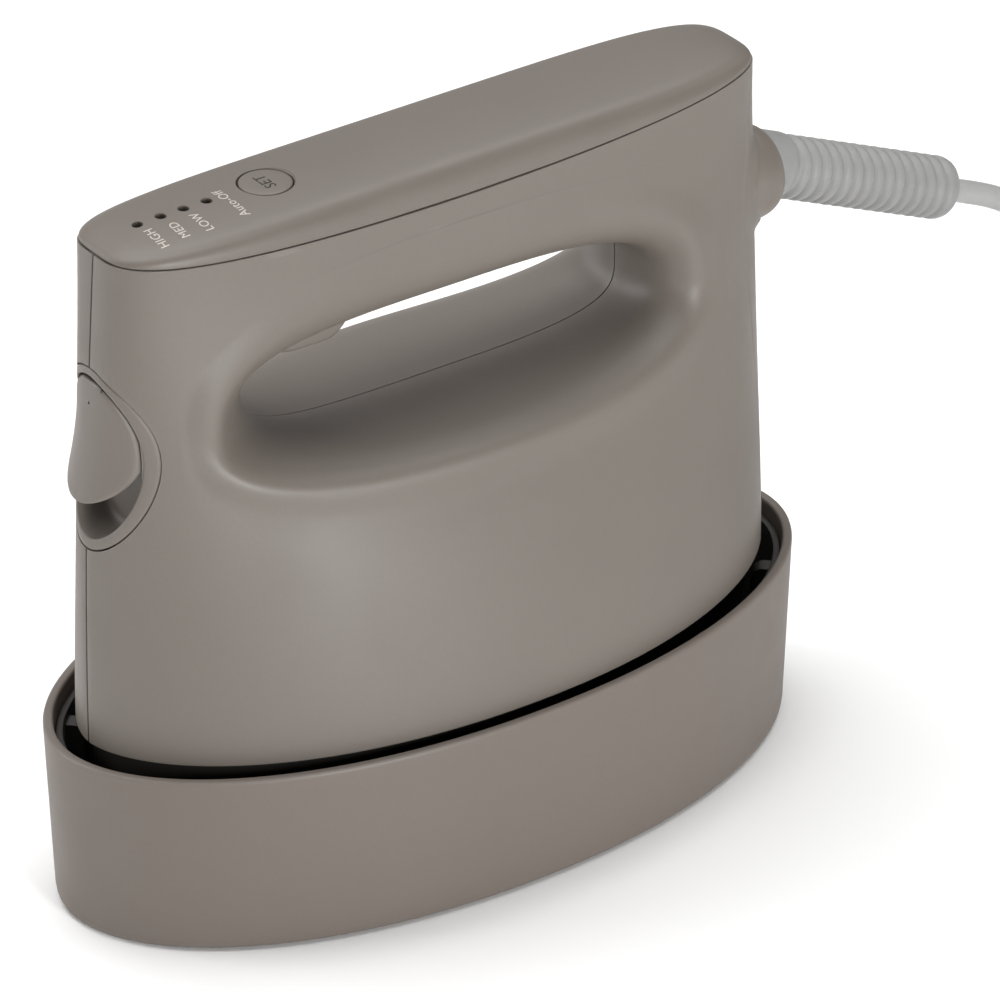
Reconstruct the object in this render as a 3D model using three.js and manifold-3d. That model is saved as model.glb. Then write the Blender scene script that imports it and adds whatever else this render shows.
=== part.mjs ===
// Handheld garment steam iron standing in its oval stand. Millimetres, +Z up.
// Origin: middle of the stand's underside. -X is the nose with the water filler,
// +X is the tail with the cord, Y runs across the iron.
import * as THREE from 'three';
import { mergeVertices } from 'three/addons/utils/BufferGeometryUtils.js';
import Module from 'manifold-3d';

const wasm = await Module();
wasm.setup();

// ---- driving dimensions -------------------------------------------------
const GAP = 0.3; // clearance between neighbouring pieces
const WALL = 2.2; // housing wall
const BODY_LENGTH = 150;
const BODY_WIDTH = 72.5;
const BODY_BOTTOM = 37.3; // lower edge of the housing halves
const HANDLE_WIDTH = 28.2;
const SEAM_MID = 133.4; // top cover joint, middle of the handle
const SEAM_RISE = 4.1; // how much higher the joint is at nose and tail
const TOP = 139.2; // shoulder of the cover, middle of the handle
const CROWN = 1.35; // the cover's top face is this much higher along its middle
const TOP_SLOPE = 0.0085; // the handle rises towards the tail
const NOSE_LEAN = 4.5; // nose and tail lean in by this much towards the top
const REAR_HALF = 12.0; // half width of the rear cover strip, less towards the top

const STAND_LENGTH = 162.2;
const STAND_WIDTH = 80.4;
const STAND_HEIGHT = 37.1;
const STAND_TAPER = 1.5; // foot of the stand wall sits in by this much
const STAND_WALL = 2.0;

const LID_X = -71.5; // filler lid hinge
const LID_Z = 110.9;
const BEZEL_Z = 96.3; // centre of the oval filler surround
const BEZEL_HALF_W = 11.8;
const BEZEL_HALF_H = 18.05;

const BUTTON_X = -34.1;
const BUTTON_R = 4.95;
const LED_X = [-61.2, -56.3, -51.5, -46.6];

const TRIGGER_PIN_X = -36.5;
const TRIGGER_PIN_Z = 115.8;

const SOCKET_X = 72.6; // cord socket
const SOCKET_Z = 112.4;
const CORD_DROOP = THREE.MathUtils.degToRad(23);
const CORD_R = 2.3;
const GUARD_R = 6.2;
const GUARD_END = 53.5; // along the cord from the socket
const COIL = { x: 172, y: -27, rIn: 18.4, rOut: 35.2, h: 19.2 };

// ---- small helpers ------------------------------------------------------
const root = new THREE.Group();
root.name = 'steam_iron';

function clean(geometry) {
  const g = geometry.index ? geometry.clone() : geometry.clone();
  g.deleteAttribute('normal');
  if (g.getAttribute('uv')) g.deleteAttribute('uv');
  return mergeVertices(g, 1e-4);
}

function volume(g) {
  const p = g.getAttribute('position');
  const a = new THREE.Vector3();
  const b = new THREE.Vector3();
  const c = new THREE.Vector3();
  let v = 0;
  for (let i = 0; i < g.index.count; i += 3) {
    a.fromBufferAttribute(p, g.index.getX(i));
    b.fromBufferAttribute(p, g.index.getX(i + 1));
    c.fromBufferAttribute(p, g.index.getX(i + 2));
    v += a.dot(b.clone().cross(c)) / 6;
  }
  return v;
}

function outward(g) {
  if (volume(g) >= 0) return g;
  const idx = Array.from(g.index.array);
  for (let i = 0; i < idx.length; i += 3) {
    const t = idx[i];
    idx[i] = idx[i + 1];
    idx[i + 1] = t;
  }
  g.setIndex(idx);
  return g;
}

function toSolid(geometry) {
  const g = outward(clean(geometry));
  const vertProperties = new Float32Array(g.getAttribute('position').array);
  const triVerts = new Uint32Array(g.index.array);
  return new wasm.Manifold(new wasm.Mesh({ numProp: 3, vertProperties, triVerts }));
}

function fromSolid(solid) {
  const m = solid.getMesh();
  const g = new THREE.BufferGeometry();
  g.setAttribute('position', new THREE.BufferAttribute(new Float32Array(m.vertProperties), 3));
  g.setIndex(Array.from(m.triVerts));
  return g;
}

function cut(geometry, ...tools) {
  let s = toSolid(geometry);
  for (const t of tools) s = s.subtract(toSolid(t));
  return fromSolid(s);
}

function join(geometry, ...others) {
  let s = toSolid(geometry);
  for (const t of others) s = s.add(toSolid(t));
  return fromSolid(s);
}

function common(geometry, other) {
  return fromSolid(toSolid(geometry).intersect(toSolid(other)));
}

function add(name, geometry, color, roughness, metalness = 0) {
  const material = new THREE.MeshStandardMaterial({ color, roughness, metalness });
  const mesh = new THREE.Mesh(outward(clean(geometry)), material);
  mesh.name = name;
  root.add(mesh);
  return mesh;
}

// Skin over a list of rings that all have the same number of points.
// closed joins the last ring to the first, otherwise both ends get a fan.
function skin(rings, closed) {
  const n = rings[0].length;
  const pos = [];
  const idx = [];
  for (const ring of rings) for (const p of ring) pos.push(p[0], p[1], p[2]);
  const steps = closed ? rings.length : rings.length - 1;
  for (let j = 0; j < steps; j++) {
    const a = j * n;
    const b = ((j + 1) % rings.length) * n;
    for (let i = 0; i < n; i++) {
      const k = (i + 1) % n;
      idx.push(a + i, a + k, b + k, a + i, b + k, b + i);
    }
  }
  if (!closed) {
    for (const end of [0, rings.length - 1]) {
      const mid = [0, 0, 0];
      for (const p of rings[end]) for (let c = 0; c < 3; c++) mid[c] += p[c] / n;
      const m = pos.length / 3;
      pos.push(...mid);
      for (let i = 0; i < n; i++) {
        const p = end * n + i;
        const q = end * n + ((i + 1) % n);
        if (end === 0) idx.push(m, q, p);
        else idx.push(m, p, q);
      }
    }
  }
  const g = new THREE.BufferGeometry();
  g.setAttribute('position', new THREE.Float32BufferAttribute(pos, 3));
  g.setIndex(idx);
  return g;
}

const power = (v, e) => Math.sign(v) * Math.pow(Math.abs(v), e);

function ovalRing(a, b, n, m, z, count = 48) {
  const ring = [];
  for (let i = 0; i < count; i++) {
    const t = (2 * Math.PI * i) / count;
    const x = a * power(Math.cos(t), 2 / n);
    const y = b * power(Math.sin(t), 2 / m);
    ring.push([x, y, typeof z === 'function' ? z(x, y) : z]);
  }
  return ring;
}

function cylinder(r, length, segments = 16) {
  return new THREE.CylinderGeometry(r, r, length, segments);
}

function place(geometry, x, y, z, rx = 0, ry = 0, rz = 0) {
  const m = new THREE.Matrix4().makeRotationFromEuler(new THREE.Euler(rx, ry, rz));
  return geometry.clone().applyMatrix4(m.setPosition(x, y, z));
}

const upright = (r, z0, z1, x, y, seg = 16) =>
  place(cylinder(r, z1 - z0, seg), x, y, (z0 + z1) / 2, Math.PI / 2);

const across = (r, half, x, z, seg = 12) => place(cylinder(r, 2 * half, seg), x, 0, z);

const block = (x0, x1, y0, y1, z0, z1) =>
  place(
    new THREE.BoxGeometry(x1 - x0, y1 - y0, z1 - z0),
    (x0 + x1) / 2,
    (y0 + y1) / 2,
    (z0 + z1) / 2,
  );

function turned(profile, segments = 20) {
  const pts = profile.map(([r, z]) => new THREE.Vector2(r, z));
  return new THREE.LatheGeometry(pts, segments).rotateX(Math.PI / 2);
}

function tube(points, radius, sides, steps, bore = 0) {
  const shape = new THREE.Shape();
  const hole = new THREE.Path();
  for (let i = 0; i < sides; i++) {
    const t = (2 * Math.PI * i) / sides;
    const go = i === 0 ? 'moveTo' : 'lineTo';
    shape[go](radius * Math.cos(t), radius * Math.sin(t));
    hole[go](bore * Math.cos(-t), bore * Math.sin(-t));
  }
  shape.closePath();
  hole.closePath();
  if (bore > 0) shape.holes.push(hole);
  const path = new THREE.CatmullRomCurve3(points.map((p) => new THREE.Vector3(...p)));
  return new THREE.ExtrudeGeometry(shape, { steps, bevelEnabled: false, extrudePath: path });
}

function ovalPrism(halfY, halfZ, zMid, x0, x1, count = 32) {
  const rings = [x0, x1].map((x) => {
    const ring = [];
    for (let i = 0; i < count; i++) {
      const t = (2 * Math.PI * i) / count;
      ring.push([x, halfY * Math.cos(t), zMid + halfZ * Math.sin(t)]);
    }
    return ring;
  });
  return skin(rings, false);
}

// ---- outer form of the housing ------------------------------------------
const seamZ = (x) => SEAM_MID + TOP_SLOPE * x + SEAM_RISE * Math.min(1, (x / 70.6) ** 2);
const topZ = (x) => TOP + TOP_SLOPE * x;
const crownZ = (x) => topZ(x) + CROWN;

function section(z) {
  const s = Math.min(1.05, Math.max(0, (z - BODY_BOTTOM) / 100.8));
  const narrow = s * s * (3 - 2 * s);
  return {
    A: BODY_LENGTH / 2 - NOSE_LEAN * Math.pow(s, 1.75),
    B: BODY_WIDTH / 2 - (BODY_WIDTH / 2 - HANDLE_WIDTH / 2) * Math.pow(narrow, 0.95),
    n: 2.12 + 3 * s ** 3,
    m: 1.8 + 1.9 * s ** 3,
  };
}

function outerY(x, z) {
  const { A, B, n, m } = section(z);
  const r = 1 - Math.pow(Math.min(1, Math.abs(x) / A), n);
  return B * Math.pow(Math.max(0, r), 1 / m);
}

function outerX(y, z) {
  const { A, B, n, m } = section(z);
  const r = 1 - Math.pow(Math.min(1, Math.abs(y) / B), m);
  return A * Math.pow(Math.max(0, r), 1 / n);
}

function rearHalf(z) {
  return Math.min(REAR_HALF, 0.62 * section(z).B);
}

function bodyRing(z, inset, count = 48) {
  const level = typeof z === 'function' ? SEAM_MID + 1 : z;
  const { A, B, n, m } = section(level);
  return ovalRing(A - inset, B - inset, n, m, z, count);
}

// ---- housing halves around the hand hole --------------------------------
// Loops run outwards from the parting line in the hole: extents along X and Z and
// how far each side of the loop stands from the middle plane.
const HOLE_MID = [0.5, 101];
const LOOPS = [
  { x: [-40.8, 43.3], z: [90.2, 111.8], p: 3.6, y: { l: 0.15, r: 0.15, b: 0.15, t: 0.15 } },
  { x: [-42.6, 43.6], z: [90.4, 112.2], p: 3.2, y: { l: 3.2, r: 5, b: 10, t: 6 } },
  { x: [-45.8, 44.5], z: [90.4, 113.6], p: 2.9, y: { l: 7.2, r: 10, b: 17, t: 10.5 } },
  { x: [-50.4, 46.8], z: [89.4, 117], p: 2.8, y: { l: 11.8, r: 14, b: 22.8, t: 13.6 } },
  { x: [-55.6, 51], z: [86.8, 122], p: 2.75, y: { l: 15.6, r: 16.5, b: 27, t: 14.8 } },
];
const LIP = { x: [-61, 57.5], z: [80.5, 128], p: 2.7 };
const OUTER_STEPS = 6;

function squareSteps() {
  const along = 16;
  const up = 8;
  const q = [];
  for (let i = 0; i < along; i++) q.push([Math.sin(Math.PI * (i / along - 0.5)), -1]);
  for (let i = 0; i < up; i++) q.push([1, -1 + (2 * i) / up]);
  for (let i = 0; i < along; i++) q.push([Math.sin(Math.PI * (0.5 - i / along)), 1]);
  for (let i = 0; i < up; i++) q.push([-1, 1 - (2 * i) / up]);
  return q;
}

function loopXZ(loop, [qx, qz]) {
  const k = Math.pow(Math.abs(qx) ** loop.p + Math.abs(qz) ** loop.p, -1 / loop.p);
  const ex = qx < 0 ? HOLE_MID[0] - loop.x[0] : loop.x[1] - HOLE_MID[0];
  const ez = qz < 0 ? HOLE_MID[1] - loop.z[0] : loop.z[1] - HOLE_MID[1];
  return [HOLE_MID[0] + ex * qx * k, HOLE_MID[1] + ez * qz * k];
}

function loopPoint(loop, q) {
  const [x, z] = loopXZ(loop, q);
  const w = q[0] ** 2 / (q[0] ** 2 + q[1] ** 2);
  const side = q[0] < 0 ? loop.y.l : loop.y.r;
  const level = q[1] < 0 ? loop.y.b : loop.y.t;
  return [x, w * side + (1 - w) * level, z];
}

function edgePoint([qx, qz]) {
  const topEnd = SEAM_MID + SEAM_RISE + TOP_SLOPE * 70.6 * qx - GAP;
  const z0 = BODY_BOTTOM + ((qz + 1) / 2) * (topEnd - BODY_BOTTOM);
  const noseX = -section(z0).A;
  const rear = rearHalf(z0) + GAP;
  const tailX = outerX(rear, z0);
  const x = noseX + ((qx + 1) / 2) * (tailX - noseX);
  const z = qz === 1 ? seamZ(x) - GAP : z0;
  const low = x > 0 ? rear : 0.15;
  const y = qx === -1 ? 0.15 : qx === 1 ? rear : Math.max(low, outerY(x, z));
  return [x, y, z];
}

function shellRings() {
  const qs = squareSteps();
  const rings = LOOPS.map((loop) => qs.map((q) => loopPoint(loop, q)));
  for (let j = 0; j <= OUTER_STEPS; j++) {
    const f = Math.sin((j / OUTER_STEPS) * Math.PI * 0.5);
    rings.push(
      qs.map((q) => {
        const edge = edgePoint(q);
        if (j === OUTER_STEPS) return edge;
        const [lx, lz] = loopXZ(LIP, q);
        const x = lx + (edge[0] - lx) * f;
        const z = lz + (edge[2] - lz) * f;
        return [x, Math.max(outerY(x, z), 0.6), z];
      }),
    );
  }
  return rings;
}

function offsetRings(rings, distance) {
  const n = rings[0].length;
  const last = rings.length - 1;
  const v = (p) => new THREE.Vector3(...p);
  return rings.map((ring, j) =>
    ring.map((p, i) => {
      const du = v(ring[(i + 1) % n]).sub(v(ring[(i + n - 1) % n])).normalize();
      const out = v(rings[Math.min(last, j + 1)][i]);
      const dv = out.sub(v(rings[Math.max(0, j - 1)][i])).normalize();
      const normal = du.cross(dv).normalize();
      return v(p).addScaledVector(normal, distance).toArray();
    }),
  );
}

function housingHalf() {
  const outer = shellRings();
  const inner = offsetRings(outer, -WALL);
  const last = outer.length - 1;
  squareSteps().forEach(([qx, qz], i) => {
    inner[0][i][1] = outer[0][i][1];
    const edge = inner[last][i];
    if (qx === -1 || qx === 1) edge[1] = outer[last][i][1];
    if (qz === -1) edge[2] = BODY_BOTTOM;
    if (qz === 1) edge[2] = outer[last][i][2];
  });
  for (const ring of inner) {
    for (const p of ring) {
      if (p[0] > 55) p[1] = Math.max(p[1], rearHalf(p[2]) + GAP);
      if (p[0] < -58) p[1] = Math.max(p[1], 0.15);
    }
  }
  return skin([...outer, ...inner.reverse()], true);
}

const PLASTIC = 0x85807a;
const BLACK = 0x1f1d1b;

const triggerSlot = block(-39.4, -13.2, -6.6, 6.6, 100, 117.4);
const bezelCut = ovalPrism(BEZEL_HALF_W + GAP, BEZEL_HALF_H + GAP, BEZEL_Z, -90, -58);
const leftHalf = cut(housingHalf().scale(1, -1, 1), triggerSlot, bezelCut);
add('left_shell', leftHalf, PLASTIC, 0.55);
add('right_shell', cut(housingHalf(), triggerSlot, bezelCut), PLASTIC, 0.55);

// ---- rear cover strip, cord socket, cord guard --------------------------
const alongCord = (s) => [
  SOCKET_X + s * Math.cos(CORD_DROOP),
  0,
  SOCKET_Z - s * Math.sin(CORD_DROOP),
];

function cordTurned(profile, segments) {
  const g = new THREE.LatheGeometry(
    profile.map(([r, s]) => new THREE.Vector2(r, s)),
    segments,
  );
  return g
    .rotateZ(-Math.PI / 2)
    .rotateY(CORD_DROOP)
    .translate(SOCKET_X, 0, SOCKET_Z);
}

function rearCover() {
  const rows = 8;
  const columns = 10;
  const rings = [];
  for (let j = 0; j <= rows; j++) {
    const z = BODY_BOTTOM + ((seamZ(70.6) - GAP - BODY_BOTTOM) * j) / rows;
    const ring = [];
    for (const depth of [0, WALL]) {
      for (let i = 0; i <= columns; i++) {
        const y = rearHalf(z) * (1 - (2 * i) / columns) * (depth ? -1 : 1);
        const x = outerX(y, z) - depth;
        ring.push([x, y, j === rows ? seamZ(x) - GAP : z]);
      }
    }
    rings.push(ring);
  }
  return skin(rings, false);
}

const socketHole = cordTurned([[0, -14], [9.7, -14], [9.7, 12], [0, 12]], 24);
add('rear_cover', cut(rearCover(), socketHole), PLASTIC, 0.55);
add(
  'cord_socket',
  cordTurned(
    [[6.8, -5], [9.4, -5], [9.4, 0.4], [9.2, 2.1], [8.6, 3.8], [7.8, 5], [6.8, 5.6], [6.8, -5]],
    24,
  ),
  PLASTIC,
  0.55,
);

const RIBS = 14;
const guardProfile = [[2.65, -3], [6.4, -3], [6.4, 8.4], [GUARD_R, 8.8]];
const ribPitch = (GUARD_END - 2.2 - 10) / RIBS;
for (let i = 0; i < RIBS; i++) {
  const s = 10 + i * ribPitch;
  guardProfile.push([5.3, s], [GUARD_R, s + ribPitch * 0.35], [GUARD_R, s + ribPitch * 0.8]);
}
guardProfile.push([5.6, GUARD_END - 1], [3.6, GUARD_END], [2.65, GUARD_END], [2.65, -3]);
add('cord_guard', cordTurned(guardProfile, 16), 0xb9b9b8, 0.6);
add('cord_clamp', cordTurned([[2.65, -11], [5, -11], [5, -4], [2.65, -4], [2.65, -11]], 12), BLACK, 0.6);

// ---- top cover, set button, indicator lights ----------------------------
function topCover() {
  const profile = [
    [0, 0], [0.1, 0.36], [0.55, 0.64], [1.4, 0.85], [2.6, 0.965], [4.4, 1], [8.5, 1], [12.5, 1],
  ];
  const base = { A: 70.3, B: HANDLE_WIDTH / 2 + 0.1, n: 4.9, m: 3.6 };
  const rise = (inset) => CROWN * Math.max(0, 1 - ((base.B - inset) / (base.B - 1.5)) ** 2);
  const ring = (inset, z) => {
    const up = inset > 1.5 ? rise(inset) : 0;
    return ovalRing(base.A - inset, base.B - inset, base.n, base.m, (x) => z(x) + up);
  };
  const rings = profile.map(([inset, f]) => ring(inset, (x) => seamZ(x) + (topZ(x) - seamZ(x)) * f));
  const inside = [
    ovalRing(base.A - 2.2, base.B - 2.2, base.n, base.m, (x) => seamZ(x)),
    ring(2.3, (x) => topZ(x) - 2.3),
    ring(6, (x) => topZ(x) - 2),
    ring(10, (x) => topZ(x) - 2),
  ];
  const outer = rings.reverse();
  return skin([...outer, ...inside], false);
}

const coverHoles = [upright(BUTTON_R + GAP, 130, 145, BUTTON_X, 0, 24)];
for (const x of LED_X) coverHoles.push(upright(1.05, 130, 145, x, 0, 10));
add('top_cover', cut(topCover(), ...coverHoles), 0x8a847d, 0.5);

add(
  'set_button',
  turned(
    [[0, 136.6], [5.8, 136.6], [5.8, 137.4], [4.95, 137.4], [4.95, 139.85], [4.6, 140.15], [0, 140.15]],
    24,
  ).translate(BUTTON_X, 0, 0),
  0x8a847d,
  0.5,
);
LED_X.forEach((x, i) => {
  add(`indicator_led_${i + 1}`, upright(0.75, 132.5, crownZ(x) - 1.1, x, 0, 10), 0x2a2522, 0.3);
});
add('control_board', block(-64, -22, -5.5, 5.5, 130.6, 132.2), 0x2f5a3c, 0.5);
add(
  'set_switch',
  turned([[0, 132.5], [3, 132.5], [3, 134], [1.6, 134], [1.6, 135.5], [0, 135.5]], 12)
    .translate(BUTTON_X, 0, 0),
  BLACK,
  0.5,
);

// ---- steam trigger under the handle -------------------------------------
function sideExtrusion(outline, halfWidth) {
  const shape = new THREE.Shape(outline.map(([x, z]) => new THREE.Vector2(x, z)));
  const g = new THREE.ExtrudeGeometry(shape, { depth: 2 * halfWidth, bevelEnabled: false });
  return g.rotateX(Math.PI / 2).translate(0, halfWidth, 0);
}

const triggerPinHole = across(1.35, 9, TRIGGER_PIN_X, TRIGGER_PIN_Z);
const triggerOutline = [
  [-38.6, 113], [-37, 110.4], [-33.5, 108.6], [-26, 107.9], [-18, 108.6], [-14.8, 110.2],
  [-14, 112.4], [-14, 117.2], [-35, 117.8], [-38.6, 117.2],
];
add('steam_trigger', cut(sideExtrusion(triggerOutline, 5.9), triggerPinHole), PLASTIC, 0.5);
add('trigger_pin', across(1, 8, TRIGGER_PIN_X, TRIGGER_PIN_Z), 0xb8b8b8, 0.35, 1);
const springBend = [
  [-31, 118.5], [-24, 119], [-22.6, 120.4], [-24, 121.8], [-30, 122.6], [-30, 123],
  [-23.8, 122.3], [-22, 120.5], [-23.8, 118.5], [-31, 118.1],
];
add('trigger_spring', sideExtrusion(springBend, 2), 0xbfc2c4, 0.3, 1);
add('trigger_switch', block(-20.5, -14.2, -4, 4, 121, 127.5), BLACK, 0.5);

// ---- filler: bezel with its recess, neck, lid ---------------------------
const bodyLevels = [0, 0.14, 0.28, 0.42, 0.56, 0.7, 0.84, 1];
const bodyForm = skin(
  bodyLevels.map((f) => bodyRing(BODY_BOTTOM + 97 * f, 0, 64)),
  false,
);
const bezelPlug = common(bodyForm, ovalPrism(BEZEL_HALF_W, BEZEL_HALF_H, BEZEL_Z, -90, -63.8));
const recess = ovalPrism(10.1, 16.2, BEZEL_Z + 0.3, -90, -66);
const neckHole = place(cylinder(4.6, 20), -66, 0, 97, 0, 0, Math.PI / 2);
add('filler_bezel', cut(bezelPlug, recess, neckHole), PLASTIC, 0.55);
add(
  'filler_neck',
  tube(
    [[-67, 0, 97], [-63.5, 0, 96.8], [-59.5, 0, 94.5], [-57.5, 0, 89], [-56.5, 0, 80], [-56, 0, 70.6]],
    4.2,
    14,
    8,
    3.1,
  ),
  0xcfcac2,
  0.5,
);

const LID_TOP = 111.9;
const LID_LOW = 88.6;
function lidHalfWidth(z) {
  const pocket = 9.65 * Math.sqrt(Math.max(0, 1 - ((z - BEZEL_Z - 0.3) / 15.75) ** 2));
  const chin = 9.9 * Math.sqrt(Math.max(0, 1 - (Math.max(0, 98.5 - z) / (98.5 - LID_LOW)) ** 2));
  return Math.min(pocket, chin);
}

function fillerLid() {
  const steps = 24;
  const mid = 98;
  const flare = (z) => 2.5 * Math.pow(Math.max(0, (105 - z) / 16.4), 1.7);
  const point = (i, f, depth) => {
    const t = (2 * Math.PI * i) / steps;
    const dz = Math.sin(t);
    const zEdge = mid + dz * (dz > 0 ? LID_TOP - mid : mid - LID_LOW);
    const y = lidHalfWidth(zEdge) * Math.sign(Math.cos(t)) * (Math.abs(Math.cos(t)) > 1e-9 ? 1 : 0);
    const z = mid + (zEdge - mid) * f;
    return [-outerX(y * f, z) - flare(z) + depth, y * f, z];
  };
  const rings = [];
  for (const [f, depth] of [[0.35, 0], [0.7, 0], [0.93, 0], [1, 0.35]]) {
    rings.push(Array.from({ length: steps }, (_, i) => point(i, f, depth)));
  }
  for (const [f, depth] of [[1, 1.3], [0.93, 1.6], [0.5, 1.6]]) {
    rings.push(Array.from({ length: steps }, (_, i) => point(i, f, depth)));
  }
  return skin(rings, false);
}

const knuckle = across(1.3, 2.2, LID_X, LID_Z);
const lidPinHole = across(0.85, 12, LID_X, LID_Z);
add('filler_lid', cut(join(fillerLid(), knuckle), lidPinHole), PLASTIC, 0.55);
add('lid_hinge_pin', across(0.55, 3.6, LID_X, LID_Z, 8), 0xb8b8b8, 0.35, 1);
add(
  'filler_seal',
  new THREE.LatheGeometry(
    [[0, 0], [5, 0], [5, 1.4], [4, 1.8], [4, 3.2], [0, 3.2]].map((p) => new THREE.Vector2(...p)),
    16,
  ).rotateZ(Math.PI / 2).translate(-67.4, 0, 97),
  0x3a3a3a,
  0.8,
);

// ---- inside: tank, pump, hoses ------------------------------------------
function tankRing(inset, z) {
  return ovalRing(30 - inset, 20.5 - inset, 2, 2, z, 32).map(([x, y]) => [x - 35.5, y, z]);
}

add(
  'water_tank',
  skin(
    [
      tankRing(6, 46), tankRing(1.2, 47), tankRing(0, 50), tankRing(0, 67), tankRing(1.5, 67),
      tankRing(1.5, 50), tankRing(6, 47.6),
    ],
    false,
  ),
  0xd8dde0,
  0.3,
);
const lidPort = upright(3.2, 60, 82, -56, 0, 14);
const tankLid = skin([tankRing(0, 67.4), tankRing(0, 69.6), tankRing(1, 70.2)], false);
add('tank_lid', cut(tankLid, lidPort), 0xd8dde0, 0.3);
add('pump', place(cylinder(10.5, 32, 20), 27, 0, 60, 0, 0, Math.PI / 2), 0x4b4f54, 0.5);
add('suction_hose', tube([[-4, 0, 53], [0, 0, 54], [5, 0, 58], [9.8, 0, 60]], 2.4, 8, 6), 0xd9d5cc, 0.6);
add(
  'steam_hose',
  tube([[43.4, 0, 60], [49, 0, 59], [53, 0, 52], [54, 0, 40], [54, 0, 25.6]], 2.4, 8, 9),
  0xd9d5cc,
  0.6,
);

// ---- sole: heat skirt, heater, soleplate --------------------------------
const soleOval = (a, b, z) => ovalRing(a, b, 2.1, 1.9, z);
add(
  'heat_skirt',
  skin(
    [
      soleOval(70.6, 31.9, 22.6), soleOval(71.6, 32.8, 30), soleOval(71.4, 32.6, 41),
      soleOval(69.7, 30.9, 41), soleOval(69.9, 31.1, 30), soleOval(68.9, 30.2, 22.6),
    ],
    true,
  ),
  BLACK,
  0.6,
);
const steamHoles = [];
for (const [x, y] of [[-52, 0], [-34, 11], [-34, -11], [-12, 17], [-12, -17], [12, 17], [12, -17],
  [34, 11], [34, -11], [52, 0]]) {
  steamHoles.push(upright(1.6, 10, 26, x, y, 8));
}
add(
  'soleplate',
  cut(
    skin([soleOval(66, 27.8, 14.3), soleOval(69.2, 30.6, 15.8), soleOval(70, 31.3, 18.5),
      soleOval(70, 31.3, 22.2)], false),
    ...steamHoles,
  ),
  0xb9bcc0,
  0.3,
  1,
);
add(
  'chamber_gasket',
  skin([soleOval(66, 27.5, 22.5), soleOval(66, 27.5, 23.3), soleOval(62, 23.5, 23.3),
    soleOval(62, 23.5, 22.5)], true),
  0x9c3b2c,
  0.8,
);
add(
  'chamber_cover',
  skin([soleOval(65.5, 27, 23.6), soleOval(65.5, 27, 25.2)], false),
  0xaeb1b5,
  0.35,
  1,
);
const heaterPath = [];
for (let i = 0; i <= 12; i++) {
  const t = -Math.PI * 0.62 + (Math.PI * 1.24 * i) / 12;
  heaterPath.push([-(46 * Math.cos(t)) + 8, 17 * Math.sin(t), 28.2]);
}
add('heating_element', tube(heaterPath, 2.5, 8, 20), 0x6d7073, 0.4, 1);
add('thermostat', upright(6.5, 25.5, 31, -8, 0, 16), 0xb0b3b6, 0.4, 1);
add('thermal_fuse', place(cylinder(2, 14, 10), 14, 0, 27.6, 0, 0, Math.PI / 2), 0xd8d4c8, 0.5);

// ---- stand ---------------------------------------------------------------
function standRing(inset, z, count = 64) {
  const lean = STAND_TAPER * (1 - z / STAND_HEIGHT);
  return ovalRing(
    STAND_LENGTH / 2 - lean - inset,
    STAND_WIDTH / 2 - 0.35 * lean - inset,
    2.11,
    1.95,
    z,
    count,
  );
}

add(
  'stand_shell',
  skin(
    [
      standRing(0.9, 0.3), standRing(0.2, 0.9), standRing(0, 2), standRing(0, 36.6),
      standRing(0.4, STAND_HEIGHT), standRing(1.6, STAND_HEIGHT), standRing(STAND_WALL, 36.6),
      standRing(STAND_WALL, 3.2), standRing(STAND_WALL, 0.3),
    ],
    true,
  ),
  PLASTIC,
  0.55,
);
const linerIn = STAND_WALL + GAP;
const linerCup = skin(
  [
    standRing(linerIn + 3, 3.6), standRing(linerIn, 5), standRing(linerIn, 34),
    standRing(linerIn + 1.4, 34), standRing(linerIn + 1.4, 6), standRing(linerIn + 4, 5.2),
  ],
  false,
);
const linerRibs = [];
for (const t of [0.42, 0.95, 1.57, 2.19, 2.72]) {
  for (const s of [1, -1]) {
    const x = (STAND_LENGTH / 2 - linerIn - 3.2) * Math.cos(t);
    const y = s * (STAND_WIDTH / 2 - linerIn - 2.6) * Math.sin(t);
    const turn = Math.atan2(y / 36 ** 2, x / 77 ** 2);
    linerRibs.push(place(new THREE.BoxGeometry(3.4, 5, 27), x, y, 18.8, 0, 0, turn));
  }
}
const rests = [];
for (const x of [-50, 50]) for (const y of [-13, 13]) rests.push(block(x - 4, x + 4, y - 3, y + 3, 5, 14));
add('stand_liner', join(linerCup, ...linerRibs, ...rests), BLACK, 0.6);
const basePlate = skin([standRing(2.8, 0), standRing(2.6, 1), standRing(2.6, 3.1)], false);
const screwSpots = [[-54, 14], [-54, -14], [54, 14], [54, -14]];
const screwHoles = screwSpots.map(([x, y]) => upright(3, -2, 5, x, y, 12));
add('stand_base', cut(basePlate, ...screwHoles), BLACK, 0.7);
screwSpots.forEach(([x, y], i) => {
  add(`base_screw_${i + 1}`, upright(2.6, 1, 3.1, x, y, 12), 0xb8b8b8, 0.35, 1);
});

// ---- mains cord: lead, put-away coil, tie, plug --------------------------
const leadPath = [
  alongCord(-8), alongCord(20), alongCord(GUARD_END), alongCord(66), [141, 1.5, 81.6],
  [146.8, 4, 74.7], [149.7, 6.5, 67.2], [154.4, 9.5, 45], [159.3, 11.6, 21.8], [163.1, 12.4, 13],
  [170.8, 12.4, 6], [178.6, 11.4, 3.2], [182, 10.2, 2.8],
];
add('cord_lead', tube(leadPath, CORD_R, 10, 36), 0xc9c9c8, 0.6);
const coilRing = turned(
  [
    [COIL.rIn, 2], [COIL.rIn + 2, 0.1], [COIL.rOut - 2, 0.1], [COIL.rOut, 2],
    [COIL.rOut, COIL.h - 2], [COIL.rOut - 2, COIL.h], [COIL.rIn + 2, COIL.h],
    [COIL.rIn, COIL.h - 2], [COIL.rIn, 2],
  ],
  32,
).translate(COIL.x, COIL.y, 0);
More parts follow.
